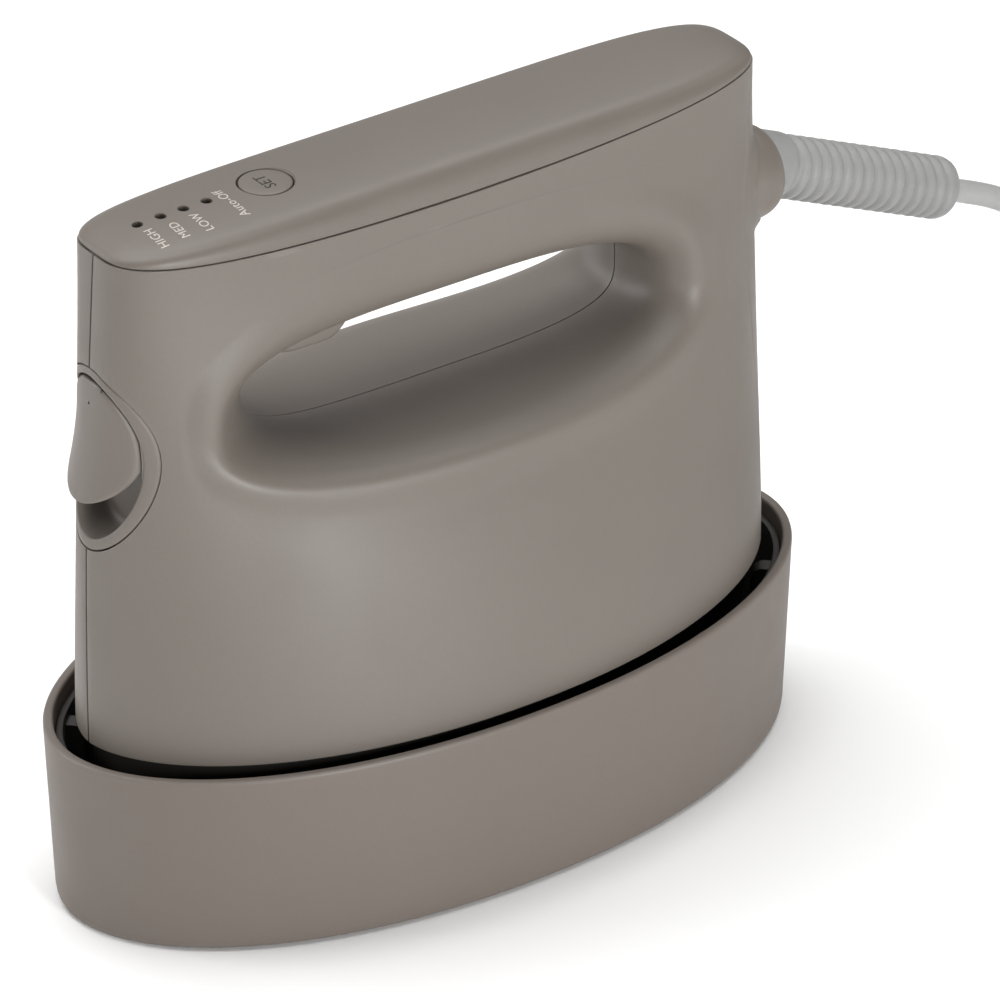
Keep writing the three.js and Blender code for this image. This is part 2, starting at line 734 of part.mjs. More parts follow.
add('cord_coil', coilRing, 0xc9c9c8, 0.6);
const tieBand = cut(
  block(COIL.rIn - 1.5, COIL.rOut + 1.5, -3, 3, 0, COIL.h + 1.4),
  block(COIL.rIn - 0.4, COIL.rOut + 0.4, -9, 9, -1, COIL.h + 0.4),
);
const TIE_TURN = -Math.PI / 2;
add('cord_tie', tieBand.rotateZ(TIE_TURN).translate(COIL.x, COIL.y, 0), 0xdededc, 0.7);
const tailPath = [
  [209.5, -8.6, 12.6], [215, -11.5, 10], [219.4, -15, 8.6], [221.6, -19.5, 8.1], [222, -23.6, 8],
];
add('cord_tail', tube(tailPath, CORD_R, 10, 10), 0xc9c9c8, 0.6);

const plug = new THREE.Group();
plug.name = 'plug';
plug.position.set(222, -24, 8);
plug.rotation.z = -Math.PI / 2;
root.add(plug);
const plugSteps = [[0, 4, 4], [5, 5, 5], [9, 9, 6.6], [24, 12, 7.6], [27, 12, 7.9], [28, 11.4, 7.4]];
const plugRings = plugSteps.map(([along, halfW, halfH]) => {
  const ring = [];
  for (let i = 0; i < 20; i++) {
    const t = (2 * Math.PI * i) / 20;
    ring.push([along, halfW * power(Math.cos(t), 0.7), halfH * power(Math.sin(t), 0.7)]);
  }
  return ring;
});
plug.add(add('plug_body', skin(plugRings, false), 0xcfcfce, 0.55));
for (const [i, y] of [[1, -6.35], [2, 6.35]]) {
  const blade = block(28.3, 45, y - 0.75, y + 0.75, -3.15, 3.15);
  plug.add(add(`plug_blade_${i}`, blade, 0xc8b27a, 0.3, 1));
}

export default root;
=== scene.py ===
"""Handheld garment steam iron in its oval stand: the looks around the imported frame."""
import math

import bmesh
import bpy
import numpy as np
from mathutils import Matrix, Vector
from mathutils.bvhtree import BVHTree


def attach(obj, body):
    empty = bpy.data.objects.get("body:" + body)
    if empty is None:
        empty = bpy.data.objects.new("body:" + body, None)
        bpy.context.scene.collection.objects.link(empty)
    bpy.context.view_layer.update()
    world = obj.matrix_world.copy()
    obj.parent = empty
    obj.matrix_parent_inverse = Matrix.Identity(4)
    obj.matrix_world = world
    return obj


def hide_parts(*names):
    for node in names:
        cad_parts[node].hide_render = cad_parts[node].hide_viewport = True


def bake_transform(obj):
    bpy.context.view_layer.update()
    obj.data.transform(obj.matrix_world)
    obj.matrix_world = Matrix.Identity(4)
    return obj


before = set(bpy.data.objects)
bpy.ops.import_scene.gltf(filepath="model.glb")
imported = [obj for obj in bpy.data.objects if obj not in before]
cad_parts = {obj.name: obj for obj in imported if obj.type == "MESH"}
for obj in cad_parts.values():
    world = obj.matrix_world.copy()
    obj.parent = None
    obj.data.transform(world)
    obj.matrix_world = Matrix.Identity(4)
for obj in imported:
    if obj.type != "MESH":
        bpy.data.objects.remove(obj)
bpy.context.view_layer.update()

# Sizes are in millimetres, times MM where metres are needed.
MM = 0.001
GAP, SEAM_GAP = 0.3, 0.2
WALL = 2.2
BODY_LENGTH, BODY_WIDTH, BODY_BOTTOM = 150.0, 72.5, 37.3
HANDLE_WIDTH = 28.2
SEAM_MID, SEAM_RISE, TOP, TOP_SLOPE, CROWN = 133.4, 4.1, 139.2, 0.0085, 1.35
NOSE_LEAN, REAR_HALF = 4.5, 12.0
STAND_LENGTH, STAND_WIDTH, STAND_HEIGHT = 162.2, 80.4, 37.1
STAND_TAPER, STAND_WALL = 1.5, 2.0
BEZEL_Z, BEZEL_HALF_W, BEZEL_HALF_H = 96.3, 11.8, 18.05
LID_TOP, LID_LOW = 111.9, 88.6
BUTTON_X, BUTTON_R = -34.1, 4.95
LED_X = (-61.2, -56.3, -51.5, -46.6)
SOCKET_X, SOCKET_Z, CORD_DROOP = 72.6, 112.4, math.radians(23)
CORD_R, CORD_LENGTH, GUARD_END = 2.3, 2200.0, 53.5
COIL_X, COIL_Y = 172.0, -27.0


# ---- materials -------------------------------------------------------------
def rgb(r, g, b):
    """sRGB bytes to linear values."""
    def one(v):
        v /= 255
        return v / 12.92 if v <= 0.04045 else ((v + 0.055) / 1.055) ** 2.4
    return (one(r), one(g), one(b), 1.0)


class Nodes:
    """Shorthand for building one node tree."""

    def __init__(self, name):
        self.material = bpy.data.materials.new(name)
        self.material.use_nodes = True
        self.tree = self.material.node_tree
        self.shader = self.tree.nodes["Principled BSDF"]

    def add(self, kind, inputs=None, **props):
        node = self.tree.nodes.new(kind)
        for key, value in props.items():
            setattr(node, key, value)
        for key, value in (inputs or {}).items():
            if isinstance(value, bpy.types.NodeSocket):
                self.link(value, node.inputs[key])
            else:
                node.inputs[key].default_value = value
        return node

    def link(self, a, b):
        self.tree.links.new(a, b)

    def coords(self):
        return self.add("ShaderNodeTexCoord").outputs["Object"]

    def noise(self, scale, detail=3.0, rough=0.5, vector=None):
        inputs = {"Scale": scale, "Detail": detail, "Roughness": rough}
        inputs["Vector"] = vector or self.coords()
        return self.add("ShaderNodeTexNoise", inputs).outputs["Fac"]

    def span(self, value, low, high, at=(0.3, 0.7)):
        inputs = {
            "Value": value, "From Min": at[0], "From Max": at[1], "To Min": low, "To Max": high,
        }
        return self.add("ShaderNodeMapRange", inputs).outputs["Result"]

    def mix(self, fac, a, b):
        node = self.add("ShaderNodeMix", data_type="RGBA")
        for socket, value in ((node.inputs[0], fac), (node.inputs[6], a), (node.inputs[7], b)):
            if isinstance(value, bpy.types.NodeSocket):
                self.link(value, socket)
            else:
                socket.default_value = value
        return node.outputs[2]

    def bump(self, height, distance, strength=1.0, normal=None):
        inputs = {"Height": height, "Distance": distance, "Strength": strength}
        if normal is not None:
            inputs["Normal"] = normal
        return self.add("ShaderNodeBump", inputs).outputs["Normal"]


def shade(colour, k):
    """The colour k times as bright."""
    return (colour[0] * k, colour[1] * k, colour[2] * k, 1.0)


# Pale tint painted onto convex edges as a highlight.
EDGE_HIGHLIGHT_TINT = (0.85, 0.83, 0.8, 1)


def moulded(name, colour, rough=0.5, grain=2600, depth=0.018, spread=0.05, edge_highlight=0.06):
    """Moulded plastic: fine eroded grain, faint flow clouding, and a painted highlight on convex
    edges.
    """
    n = Nodes(name)
    cloud = n.noise(28, 4.0)
    speck = n.noise(grain * 0.55, 2.0, 0.6)
    dark, pale = shade(colour, 1 - spread * 0.5), shade(colour, 1 + spread * 0.5)
    tint = n.mix(n.span(cloud, 0, 1), dark, pale)
    tint = n.mix(n.span(speck, 0, 0.35), tint, shade(colour, 1 - spread * 1.6))
    # Painted highlight: convex edges, picked out by pointiness, are mixed toward the pale tint.
    edge = n.add("ShaderNodeNewGeometry").outputs["Pointiness"]
    tint = n.mix(n.span(edge, 0, edge_highlight, (0.515, 0.6)), tint, EDGE_HIGHLIGHT_TINT)
    n.link(tint, n.shader.inputs["Base Color"])
    n.link(n.span(n.noise(60, 5.0), rough - 0.05, rough + 0.06), n.shader.inputs["Roughness"])
    fine = n.bump(n.noise(grain, 2.0, 0.55), depth * MM, 0.8)
    n.link(n.bump(n.noise(190, 2.0), depth * 0.9 * MM, 0.35, fine), n.shader.inputs["Normal"])
    n.shader.inputs["Specular IOR Level"].default_value = 0.5
    return n.material


def metal(name, colour, rough=0.3, brushed=(1, 1, 1)):
    """Bare metal: brushed lines, stretched across the axes given, and uneven polish."""
    n = Nodes(name)
    scale = n.add("ShaderNodeMapping", {"Vector": n.coords(), "Scale": brushed}).outputs["Vector"]
    lines = n.noise(1400, 3.0, 0.6, scale)
    n.link(n.mix(n.span(lines, 0, 1), shade(colour, 0.86), colour), n.shader.inputs["Base Color"])
    n.link(n.span(n.noise(90, 4.0), rough - 0.07, rough + 0.1), n.shader.inputs["Roughness"])
    n.link(n.bump(lines, 0.01 * MM, 0.6), n.shader.inputs["Normal"])
    n.shader.inputs["Metallic"].default_value = 1.0
    return n.material


def sheath(name, colour, rough=0.45, scale=1500):
    """Cord and rubber: satin skin with faint scuffs."""
    n = Nodes(name)
    scuff = n.noise(240, 5.0, 0.65)
    tint = n.mix(n.span(scuff, 0, 0.5, (0.45, 0.8)), colour, shade(colour, 0.82))
    n.link(tint, n.shader.inputs["Base Color"])
    n.link(n.span(scuff, rough - 0.06, rough + 0.12), n.shader.inputs["Roughness"])
    n.link(n.bump(n.noise(scale, 2.0), 0.02 * MM, 0.6), n.shader.inputs["Normal"])
    return n.material


TAUPE = rgb(109, 102, 95)
# For the moulded plastics, the edge argument sets the strength of the painted highlight on convex
# edges.
MAT = {
    "housing": moulded("housing_plastic", TAUPE, edge_highlight=0.03),
    "cover": moulded("cover_plastic", rgb(106, 99, 92), rough=0.47, edge_highlight=0),
    "stand": moulded("stand_plastic", rgb(106, 97, 90), rough=0.52),
    "black": moulded("black_plastic", rgb(34, 31, 28), rough=0.55, spread=0.2, edge_highlight=0.03),
    "lens": moulded("lens_smoke", rgb(44, 38, 34), rough=0.2, depth=0.004, edge_highlight=0.02),
    "mark": moulded("mark_ink", rgb(188, 181, 173), rough=0.6, depth=0.006, edge_highlight=0),
    "mark_dark": moulded("mark_dark", rgb(26, 23, 20), rough=0.6, depth=0.006, edge_highlight=0),
    "guard": sheath("guard_rubber", rgb(137, 137, 136), 0.55),
    "cord": sheath("cord_sheath", rgb(156, 156, 155), 0.45),
    "plug": moulded("plug_plastic", rgb(166, 166, 165), rough=0.42, grain=2200),
    "tie": sheath("tie_strap", rgb(214, 214, 211), 0.7, 900),
    "dark_steel": metal("dark_steel", (0.09, 0.09, 0.09, 1), 0.42),
    "steel": metal("bright_steel", (0.5, 0.5, 0.51, 1), 0.28, (1, 1, 12)),
    "brass": metal("blade_metal", (0.72, 0.66, 0.5, 1), 0.26, (12, 1, 1)),
    "aluminium": metal("cast_aluminium", (0.42, 0.43, 0.45, 1), 0.42, (1, 6, 1)),
    "sole": metal("sole_metal", (0.4, 0.41, 0.43, 1), 0.3, (1, 14, 1)),
    "heater": metal("heater_sheath", (0.24, 0.24, 0.25, 1), 0.5),
    "seal": sheath("seal_rubber", rgb(66, 60, 58), 0.75, 700),
    "gasket": sheath("gasket_silicone", rgb(158, 62, 46), 0.6, 700),
    "tank": moulded("tank_resin", rgb(206, 214, 218), rough=0.3, depth=0.01),
    "hose": sheath("hose_silicone", rgb(214, 210, 202), 0.5),
    "pump": moulded("pump_resin", rgb(78, 82, 88), rough=0.5),
    "ceramic": sheath("ceramic", rgb(214, 210, 200), 0.6, 500),
    "board": moulded("board_laminate", rgb(44, 92, 62), rough=0.45, grain=900, spread=0.2),
}


# ---- mesh helpers ----------------------------------------------------------
WELD = 2e-7


def make(name, verts, faces, material, sharp=35):
    """A smooth shaded mesh object from millimetre points, its faces turned outwards."""
    mesh = bpy.data.meshes.new(name)
    mesh.from_pydata([(p[0] * MM, p[1] * MM, p[2] * MM) for p in verts], [], faces)
    bm = bmesh.new()
    bm.from_mesh(mesh)
    bmesh.ops.remove_doubles(bm, verts=bm.verts, dist=WELD)
    bmesh.ops.recalc_face_normals(bm, faces=bm.faces)
    bm.to_mesh(mesh)
    bm.free()
    o = bpy.data.objects.new(name, mesh)
    bpy.context.scene.collection.objects.link(o)
    mesh.materials.append(MAT[material])
    smooth(o, sharp)
    return o


def smooth(o, sharp=35):
    for polygon in o.data.polygons:
        polygon.use_smooth = True
    o.data.set_sharp_from_angle(angle=math.radians(sharp))


def skin(name, rings, material, closed=False, sharp=35):
    """Quads over rings of equal length; open ends get a cap."""
    n = len(rings[0])
    verts = [tuple(p) for ring in rings for p in ring]
    faces = []
    for j in range(len(rings) if closed else len(rings) - 1):
        a, b = j * n, ((j + 1) % len(rings)) * n
        for i in range(n):
            k = (i + 1) % n
            faces.append((a + i, a + k, b + k, b + i))
    if not closed:
        for end in (0, len(rings) - 1):
            middle = np.mean(np.array(rings[end]), axis=0)
            verts.append(tuple(middle))
            m = len(verts) - 1
            for i in range(n):
                faces.append((m, end * n + i, end * n + (i + 1) % n))
    return make(name, verts, faces, material, sharp)


def carve(o, *tools):
    """Cuts each tool out of o, and removes the tools."""
    for tool in tools:
        bpy.context.view_layer.update()
        m = o.modifiers.new("cut", "BOOLEAN")
        m.operation = "DIFFERENCE"
        m.solver = "EXACT"
        m.use_self = False
        m.object = tool
        evaluated = o.evaluated_get(bpy.context.evaluated_depsgraph_get())
        mesh = bpy.data.meshes.new_from_object(evaluated)
        o.modifiers.clear()
        o.data = mesh
        bpy.data.objects.remove(tool)
    smooth(o)
    return o


def power(v, e):
    return np.sign(v) * np.abs(v) ** e


def around(count):
    return np.linspace(0, 2 * np.pi, count, endpoint=False)


def oval(a, b, n, m, count):
    t = around(count)
    return a * power(np.cos(t), 2 / n), b * power(np.sin(t), 2 / m)


def ring_at(a, b, n, m, z, count=128):
    x, y = oval(a, b, n, m, count)
    level = z(x) if callable(z) else np.full(count, float(z))
    return np.stack([x, y, level], 1)


def turned(name, profile, material, segments=96, origin=(0, 0, 0)):
    """A capped lathe about an upright axis through origin; profile is (radius, height)."""
    t = around(segments)
    rings = [
        np.stack([r * np.cos(t), r * np.sin(t), np.full(segments, float(z))], 1) + np.array(origin)
        for r, z in profile
    ]
    return skin(name, rings, material)


def between(a, b, c, d, t):
    """A point at t on the smooth curve from b to c."""
    return 0.5 * (2 * b + (c - a) * t + (2 * a - 5 * b + 4 * c - d) * t * t
                  + (3 * b - a - 3 * c + d) * t ** 3)


def catmull(points, steps):
    """A smooth curve through the points, steps pieces to each span."""
    p = np.asarray(points, float)
    p = np.vstack([2 * p[0] - p[1], p, 2 * p[-1] - p[-2]])
    out = []
    for i in range(1, len(p) - 2):
        out += [between(*p[i - 1:i + 3], k / steps) for k in range(steps)]
    out.append(p[-2])
    return np.array(out)


def even(points, step):
    """The same line with its points a fixed distance apart."""
    p = np.asarray(points, float)
    s = np.concatenate([[0], np.cumsum(np.linalg.norm(np.diff(p, axis=0), axis=1))])
    count = max(2, int(round(s[-1] / step)) + 1)
    at = np.linspace(0, s[-1], count)
    return np.stack([np.interp(at, s, p[:, i]) for i in range(3)], 1)


def tube_rings(path, radius, sides=16):
    """Rings square to the path, without twist."""
    p = np.asarray(path, float)
    tangent = np.gradient(p, axis=0)
    tangent /= np.linalg.norm(tangent, axis=1)[:, None]
    side = np.cross(tangent[0], (0.0, 0.0, 1.0))
    if np.linalg.norm(side) < 1e-6:
        side = np.array([0.0, 1.0, 0.0])
    rings = []
    t = around(sides)
    for i in range(len(p)):
        side = side - tangent[i] * np.dot(side, tangent[i])
        side /= np.linalg.norm(side)
        other = np.cross(tangent[i], side)
        r = radius[i] if hasattr(radius, "__len__") else radius
        rings.append(p[i] + r * (np.cos(t)[:, None] * side + np.sin(t)[:, None] * other))
    return rings


def settle(o, body, slot_name, *nodes):
    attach(o, body)
    if nodes:
        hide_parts(*nodes)
    return o


# ---- camera, light, floor ----------------------------------------------------
# The lens is given in sensor widths, and lights are placed in metres.
SENSOR, FOCAL_RATIO = 36, 6.93135
TARGET = Vector((17.13, 0, 58.27)) * MM
AZIMUTH, ELEVATION, DISTANCE = math.radians(-35.38), math.radians(30.17), 1.3005
back = Vector(
    (
        math.sin(AZIMUTH) * math.cos(ELEVATION),
        -math.cos(AZIMUTH) * math.cos(ELEVATION),
        math.sin(ELEVATION),
    )
)
right = Vector((math.cos(AZIMUTH), math.sin(AZIMUTH), 0))
up = back.cross(right)
camera = bpy.data.objects.new("camera", bpy.data.cameras.new("camera"))
camera.data.sensor_width = SENSOR
camera.data.lens = FOCAL_RATIO * SENSOR
camera.data.clip_end = 20
camera.matrix_world = Matrix.Translation(TARGET + back * DISTANCE) @ Matrix(
    (right, up, back)
).transposed().to_4x4()
bpy.context.scene.collection.objects.link(camera)
bpy.context.scene.camera = camera


def area(name, position, target, size, watts):
    light = bpy.data.lights.new(name, "AREA")
    light.shape = "RECTANGLE"
    light.size, light.size_y = size
    light.energy = watts
    o = bpy.data.objects.new(name, light)
    o.location = position
    o.rotation_euler = (Vector(target) - Vector(position)).to_track_quat("-Z", "Y").to_euler()
    bpy.context.scene.collection.objects.link(o)


world = bpy.data.worlds.new("studio")
bpy.context.scene.world = world
world.use_nodes = True
room = world.node_tree
gaze = room.nodes.new("ShaderNodeTexCoord").outputs["Generated"]


def dimmed(direction, start, end, low):
    """1 away from the direction, falling to low where the gaze is close to it."""
    dot = room.nodes.new("ShaderNodeVectorMath")
    dot.operation = "DOT_PRODUCT"
    room.links.new(gaze, dot.inputs[0])
    dot.inputs[1].default_value = direction
    falloff = room.nodes.new("ShaderNodeMapRange")
    falloff.interpolation_type = "SMOOTHSTEP"
    for key, value in (("From Min", start), ("From Max", end), ("To Min", 1.0), ("To Max", low)):
        falloff.inputs[key].default_value = value
    room.links.new(dot.outputs["Value"], falloff.inputs["Value"])
    return falloff.outputs["Result"]


# The room is dimmer past the nose's near side and past the tail's near side, so the
# near wall falls off as it turns towards either end.
ROOM_STRENGTH = 0.5
both = room.nodes.new("ShaderNodeMath")
both.operation = "MULTIPLY"
room.links.new(dimmed((-0.78, -0.6, 0.18), 0.0, 0.8, 0.05), both.inputs[0])
room.links.new(dimmed((0.9, -0.4, 0.17), 0.1, 0.8, 0.15), both.inputs[1])
strength = room.nodes.new("ShaderNodeMath")
strength.operation = "MULTIPLY"
room.links.new(both.outputs[0], strength.inputs[0])
strength.inputs[1].default_value = ROOM_STRENGTH
room.nodes["Background"].inputs["Color"].default_value = (1, 1, 1, 1)
room.links.new(strength.outputs[0], room.nodes["Background"].inputs["Strength"])
area("front", (-0.05, -1.35, 0.3), (0, 0, 0.08), (0.28, 0.7), 17.0)
area("nose", (-1.0, 0.75, 0.55), (-0.03, 0, 0.08), (0.7, 0.9), 9.0)
area("top", (0.1, 0.25, 1.5), (0, 0, 0.1), (1.6, 1.4), 24.0)
bpy.context.scene.view_settings.view_transform = "Standard"

FLOOR_HALF, FLOOR_DROP = 30.0, 0.0001
floor_mesh = bpy.data.meshes.new("floor")
floor_mesh.from_pydata(
    [(-FLOOR_HALF, -FLOOR_HALF, 0), (FLOOR_HALF, -FLOOR_HALF, 0),
     (FLOOR_HALF, FLOOR_HALF, 0), (-FLOOR_HALF, FLOOR_HALF, 0)],
    [], [(0, 1, 2, 3)],
)
floor = bpy.data.objects.new("floor", floor_mesh)
floor.location.z = -FLOOR_DROP
bpy.context.scene.collection.objects.link(floor)
floor_material = Nodes("pale_floor")
floor_material.link(
    floor_material.mix(floor_material.noise(3), (0.965, 0.965, 0.965, 1), (0.98, 0.98, 0.98, 1)),
    floor_material.shader.inputs["Base Color"],
)
floor_material.shader.inputs["Roughness"].default_value = 0.9
floor_material.shader.inputs["Specular IOR Level"].default_value = 0.1
floor.data.materials.append(floor_material.material)


# ---- mains cord --------------------------------------------------------------
def along_cord(s, off=0.0, angle=0.0):
    c, d = math.cos(CORD_DROOP), math.sin(CORD_DROOP)
    return np.array(
        [
            SOCKET_X + s * c + off * math.sin(angle) * d,
            off * math.cos(angle),
            SOCKET_Z - s * d + off * math.sin(angle) * c,
        ]
    )


CORD_EXIT = along_cord(GUARD_END)
# The coil: outer and inner radius of a turn's middle, and the steps between turns and layers.
R_OUT, R_IN = 34.2, 19.8
TURN_PITCH, LAYER_STEP = 4.8, 4.68
LAYERS, FIRST_LAYER_Z = 4, 2.75
COIL_START, TURN_POINTS, CLIMB = math.radians(60), 28, 0.22


def coil_points():
    """Three turns in, three turns out, four layers up, clockwise seen from above."""
    spins = (R_OUT - R_IN) / TURN_PITCH
    out = []
    count = int(round((LAYERS * spins + 10 / 360) * TURN_POINTS))
    for i in range(count + 1):
        turn = i / TURN_POINTS
        layer = min(LAYERS - 1, int(turn / spins))
        within = turn - layer * spins
        f = within / spins
        r = R_OUT - (R_OUT - R_IN) * f if layer % 2 == 0 else R_IN + (R_OUT - R_IN) * f
        z = FIRST_LAYER_Z + LAYER_STEP * layer
        if layer < LAYERS - 1 and within > spins - CLIMB:
            u = (within - spins + CLIMB) / CLIMB
            z += LAYER_STEP * 0.5 * u * u
        if layer > 0 and within < CLIMB:
            u = 1 - within / CLIMB
            z -= LAYER_STEP * 0.5 * u * u
        t = COIL_START - 2 * math.pi * turn
        out.append((COIL_X + r * math.cos(t), COIL_Y + r * math.sin(t), z))
    return out


lead = [
    CORD_EXIT, along_cord(59.5), along_cord(66), (141, 1.5, 81.6), (146.8, 4, 74.7),
    (149.7, 6.5, 67.2), (154.4, 9.5, 45), (159.3, 11.4, 21.8), (163.1, 12, 13),
    (170.8, 11.7, 6), (178.6, 9.9, 3.2), (184.3, 7.1, 2.8),
]
coil = coil_points()
tail = [
    (203.5, -6.6, 14.6), (210.6, -9.6, 12.0), (217.3, -14, 9.2), (221.4, -20.4, 8.2),
    (222, -25, 8.0),
]
CORD_STEP, CORD_SMOOTHING = 2.6, 6
cord_line = catmull(np.array([*lead, *coil, *tail], float), 6)
cord_line = even(cord_line, CORD_STEP)
for _ in range(CORD_SMOOTHING):
    cord_line[1:-1] = 0.25 * cord_line[:-2] + 0.5 * cord_line[1:-1] + 0.25 * cord_line[2:]
cord = skin("mains_cord", tube_rings(cord_line, CORD_R, 14), "cord")
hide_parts("cord_lead", "cord_coil", "cord_tail")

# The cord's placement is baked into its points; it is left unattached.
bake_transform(cord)


# ---- housing form ------------------------------------------------------------
SEAM_HALF = 70.6
SIDE_HEIGHT = 100.8
CENTRE_GAP = 0.15


def seam_z(x):
    """The joint under the top cover, which dips in the middle."""
    return SEAM_MID + TOP_SLOPE * x + SEAM_RISE * np.minimum(1, (x / SEAM_HALF) ** 2)


def top_z(x):
    return TOP + TOP_SLOPE * x


def section(z):
    """Half length, half width and the two powers of the body's oval at a height."""
    s = np.clip((z - BODY_BOTTOM) / SIDE_HEIGHT, 0, 1.05)
    narrow = s * s * (3 - 2 * s)
    half = BODY_WIDTH / 2
    return (
        BODY_LENGTH / 2 - NOSE_LEAN * s ** 1.75,
        half - (half - HANDLE_WIDTH / 2) * np.maximum(narrow, 0) ** 0.95,
        2.12 + 3 * s ** 3,
        1.8 + 1.9 * s ** 3,
    )


def outer_y(x, z):
    a, b, n, m = section(z)
    r = 1 - np.minimum(1, np.abs(x) / a) ** n
    return b * np.maximum(0, r) ** (1 / m)


def outer_x(y, z):
    a, b, n, m = section(z)
    r = 1 - np.minimum(1, np.abs(y) / b) ** m
    return a * np.maximum(0, r) ** (1 / n)


def rear_half(z):
    return np.minimum(REAR_HALF, 0.62 * section(z)[1])


# Loops from the parting line in the hand hole outwards: X and Z extents, how square
# the loop is, and how far its left, right, bottom and top stand from the middle plane.
HOLE_MID = (0.5, 101.0)
LOOPS = [
    ((-40.8, 43.3), (90.2, 111.8), 3.6, (CENTRE_GAP,) * 4),
    ((-42.6, 43.6), (90.4, 112.2), 3.2, (3.2, 5, 10, 6)),
    ((-45.8, 44.5), (90.4, 113.6), 2.9, (7.2, 10, 17, 10.5)),
    ((-50.4, 46.8), (89.4, 117), 2.8, (11.8, 14, 22.8, 13.6)),
    ((-55.6, 51), (86.8, 122), 2.75, (15.6, 16.5, 27, 14.8)),
]
LIP = ((-61, 57.5), (80.5, 128), 2.7)
LOOP_SPANS = (3, 5, 6, 8, 9)
OUTER_START, OUTER_RINGS = 0.14, 30


def square_steps(along=84, up=42):
    """Points round a square from -1 to 1; every ring of the housing follows them."""
    i = np.arange(along) / along
    j = np.arange(up) / up
    low = np.stack([np.sin(np.pi * (i - 0.5)), -np.ones(along)], 1)
    rightward = np.stack([np.ones(up), -1 + 2 * j], 1)
    high = np.stack([np.sin(np.pi * (0.5 - i)), np.ones(along)], 1)
    left = np.stack([-np.ones(up), 1 - 2 * j], 1)
    return np.vstack([low, rightward, high, left])


def loop_xz(ex, ez, p, q):
    k = (np.abs(q[:, 0]) ** p + np.abs(q[:, 1]) ** p) ** (-1 / p)
    wide = np.where(q[:, 0] < 0, HOLE_MID[0] - ex[0], ex[1] - HOLE_MID[0])
    tall = np.where(q[:, 1] < 0, HOLE_MID[1] - ez[0], ez[1] - HOLE_MID[1])
    return HOLE_MID[0] + wide * q[:, 0] * k, HOLE_MID[1] + tall * q[:, 1] * k


def loop_ring(loop, q):
    x, z = loop_xz(*loop[:3], q)
    w = q[:, 0] ** 2 / (q[:, 0] ** 2 + q[:, 1] ** 2)
    left, rightward, low, high = loop[3]
    side = np.where(q[:, 0] < 0, left, rightward)
    level = np.where(q[:, 1] < 0, low, high)
    return np.stack([x, w * side + (1 - w) * level, z], 1)


def edge_ring(q):
    """The outline of one half: sole line, nose joint, rear strip joint, cover joint."""
    top_end = SEAM_MID + SEAM_RISE + TOP_SLOPE * SEAM_HALF * q[:, 0] - SEAM_GAP
    z0 = BODY_BOTTOM + (q[:, 1] + 1) / 2 * (top_end - BODY_BOTTOM)
    nose = -section(z0)[0]
    rear = rear_half(z0) + GAP
    x = nose + (q[:, 0] + 1) / 2 * (outer_x(rear, z0) - nose)
    z = np.where(q[:, 1] == 1, seam_z(x) - SEAM_GAP, z0)
    low = np.where(x > 0, rear, CENTRE_GAP)
    y = np.where(q[:, 0] == 1, rear, np.maximum(low, outer_y(x, z)))
    y = np.where(q[:, 0] == -1, CENTRE_GAP, y)
    return np.stack([x, y, z], 1)


def outer_ring(q, f, edge):
    lx, lz = loop_xz(*LIP, q)
    x = lx + (edge[:, 0] - lx) * f
    z = lz + (edge[:, 2] - lz) * f
    return np.stack([x, np.maximum(outer_y(x, z), CENTRE_GAP), z], 1)


def normals(rings):
    """Surface direction at every point of the rings, out of the material."""
    du = np.roll(rings, -1, axis=1) - np.roll(rings, 1, axis=1)
    dv = np.gradient(rings, axis=0)
    n = np.cross(du, dv)
    return n / np.maximum(np.linalg.norm(n, axis=2), 1e-9)[..., None]


SEAM_ROUND = 0.22
NOSE_JOINT_X, TAIL_JOINT_X = -58, 55


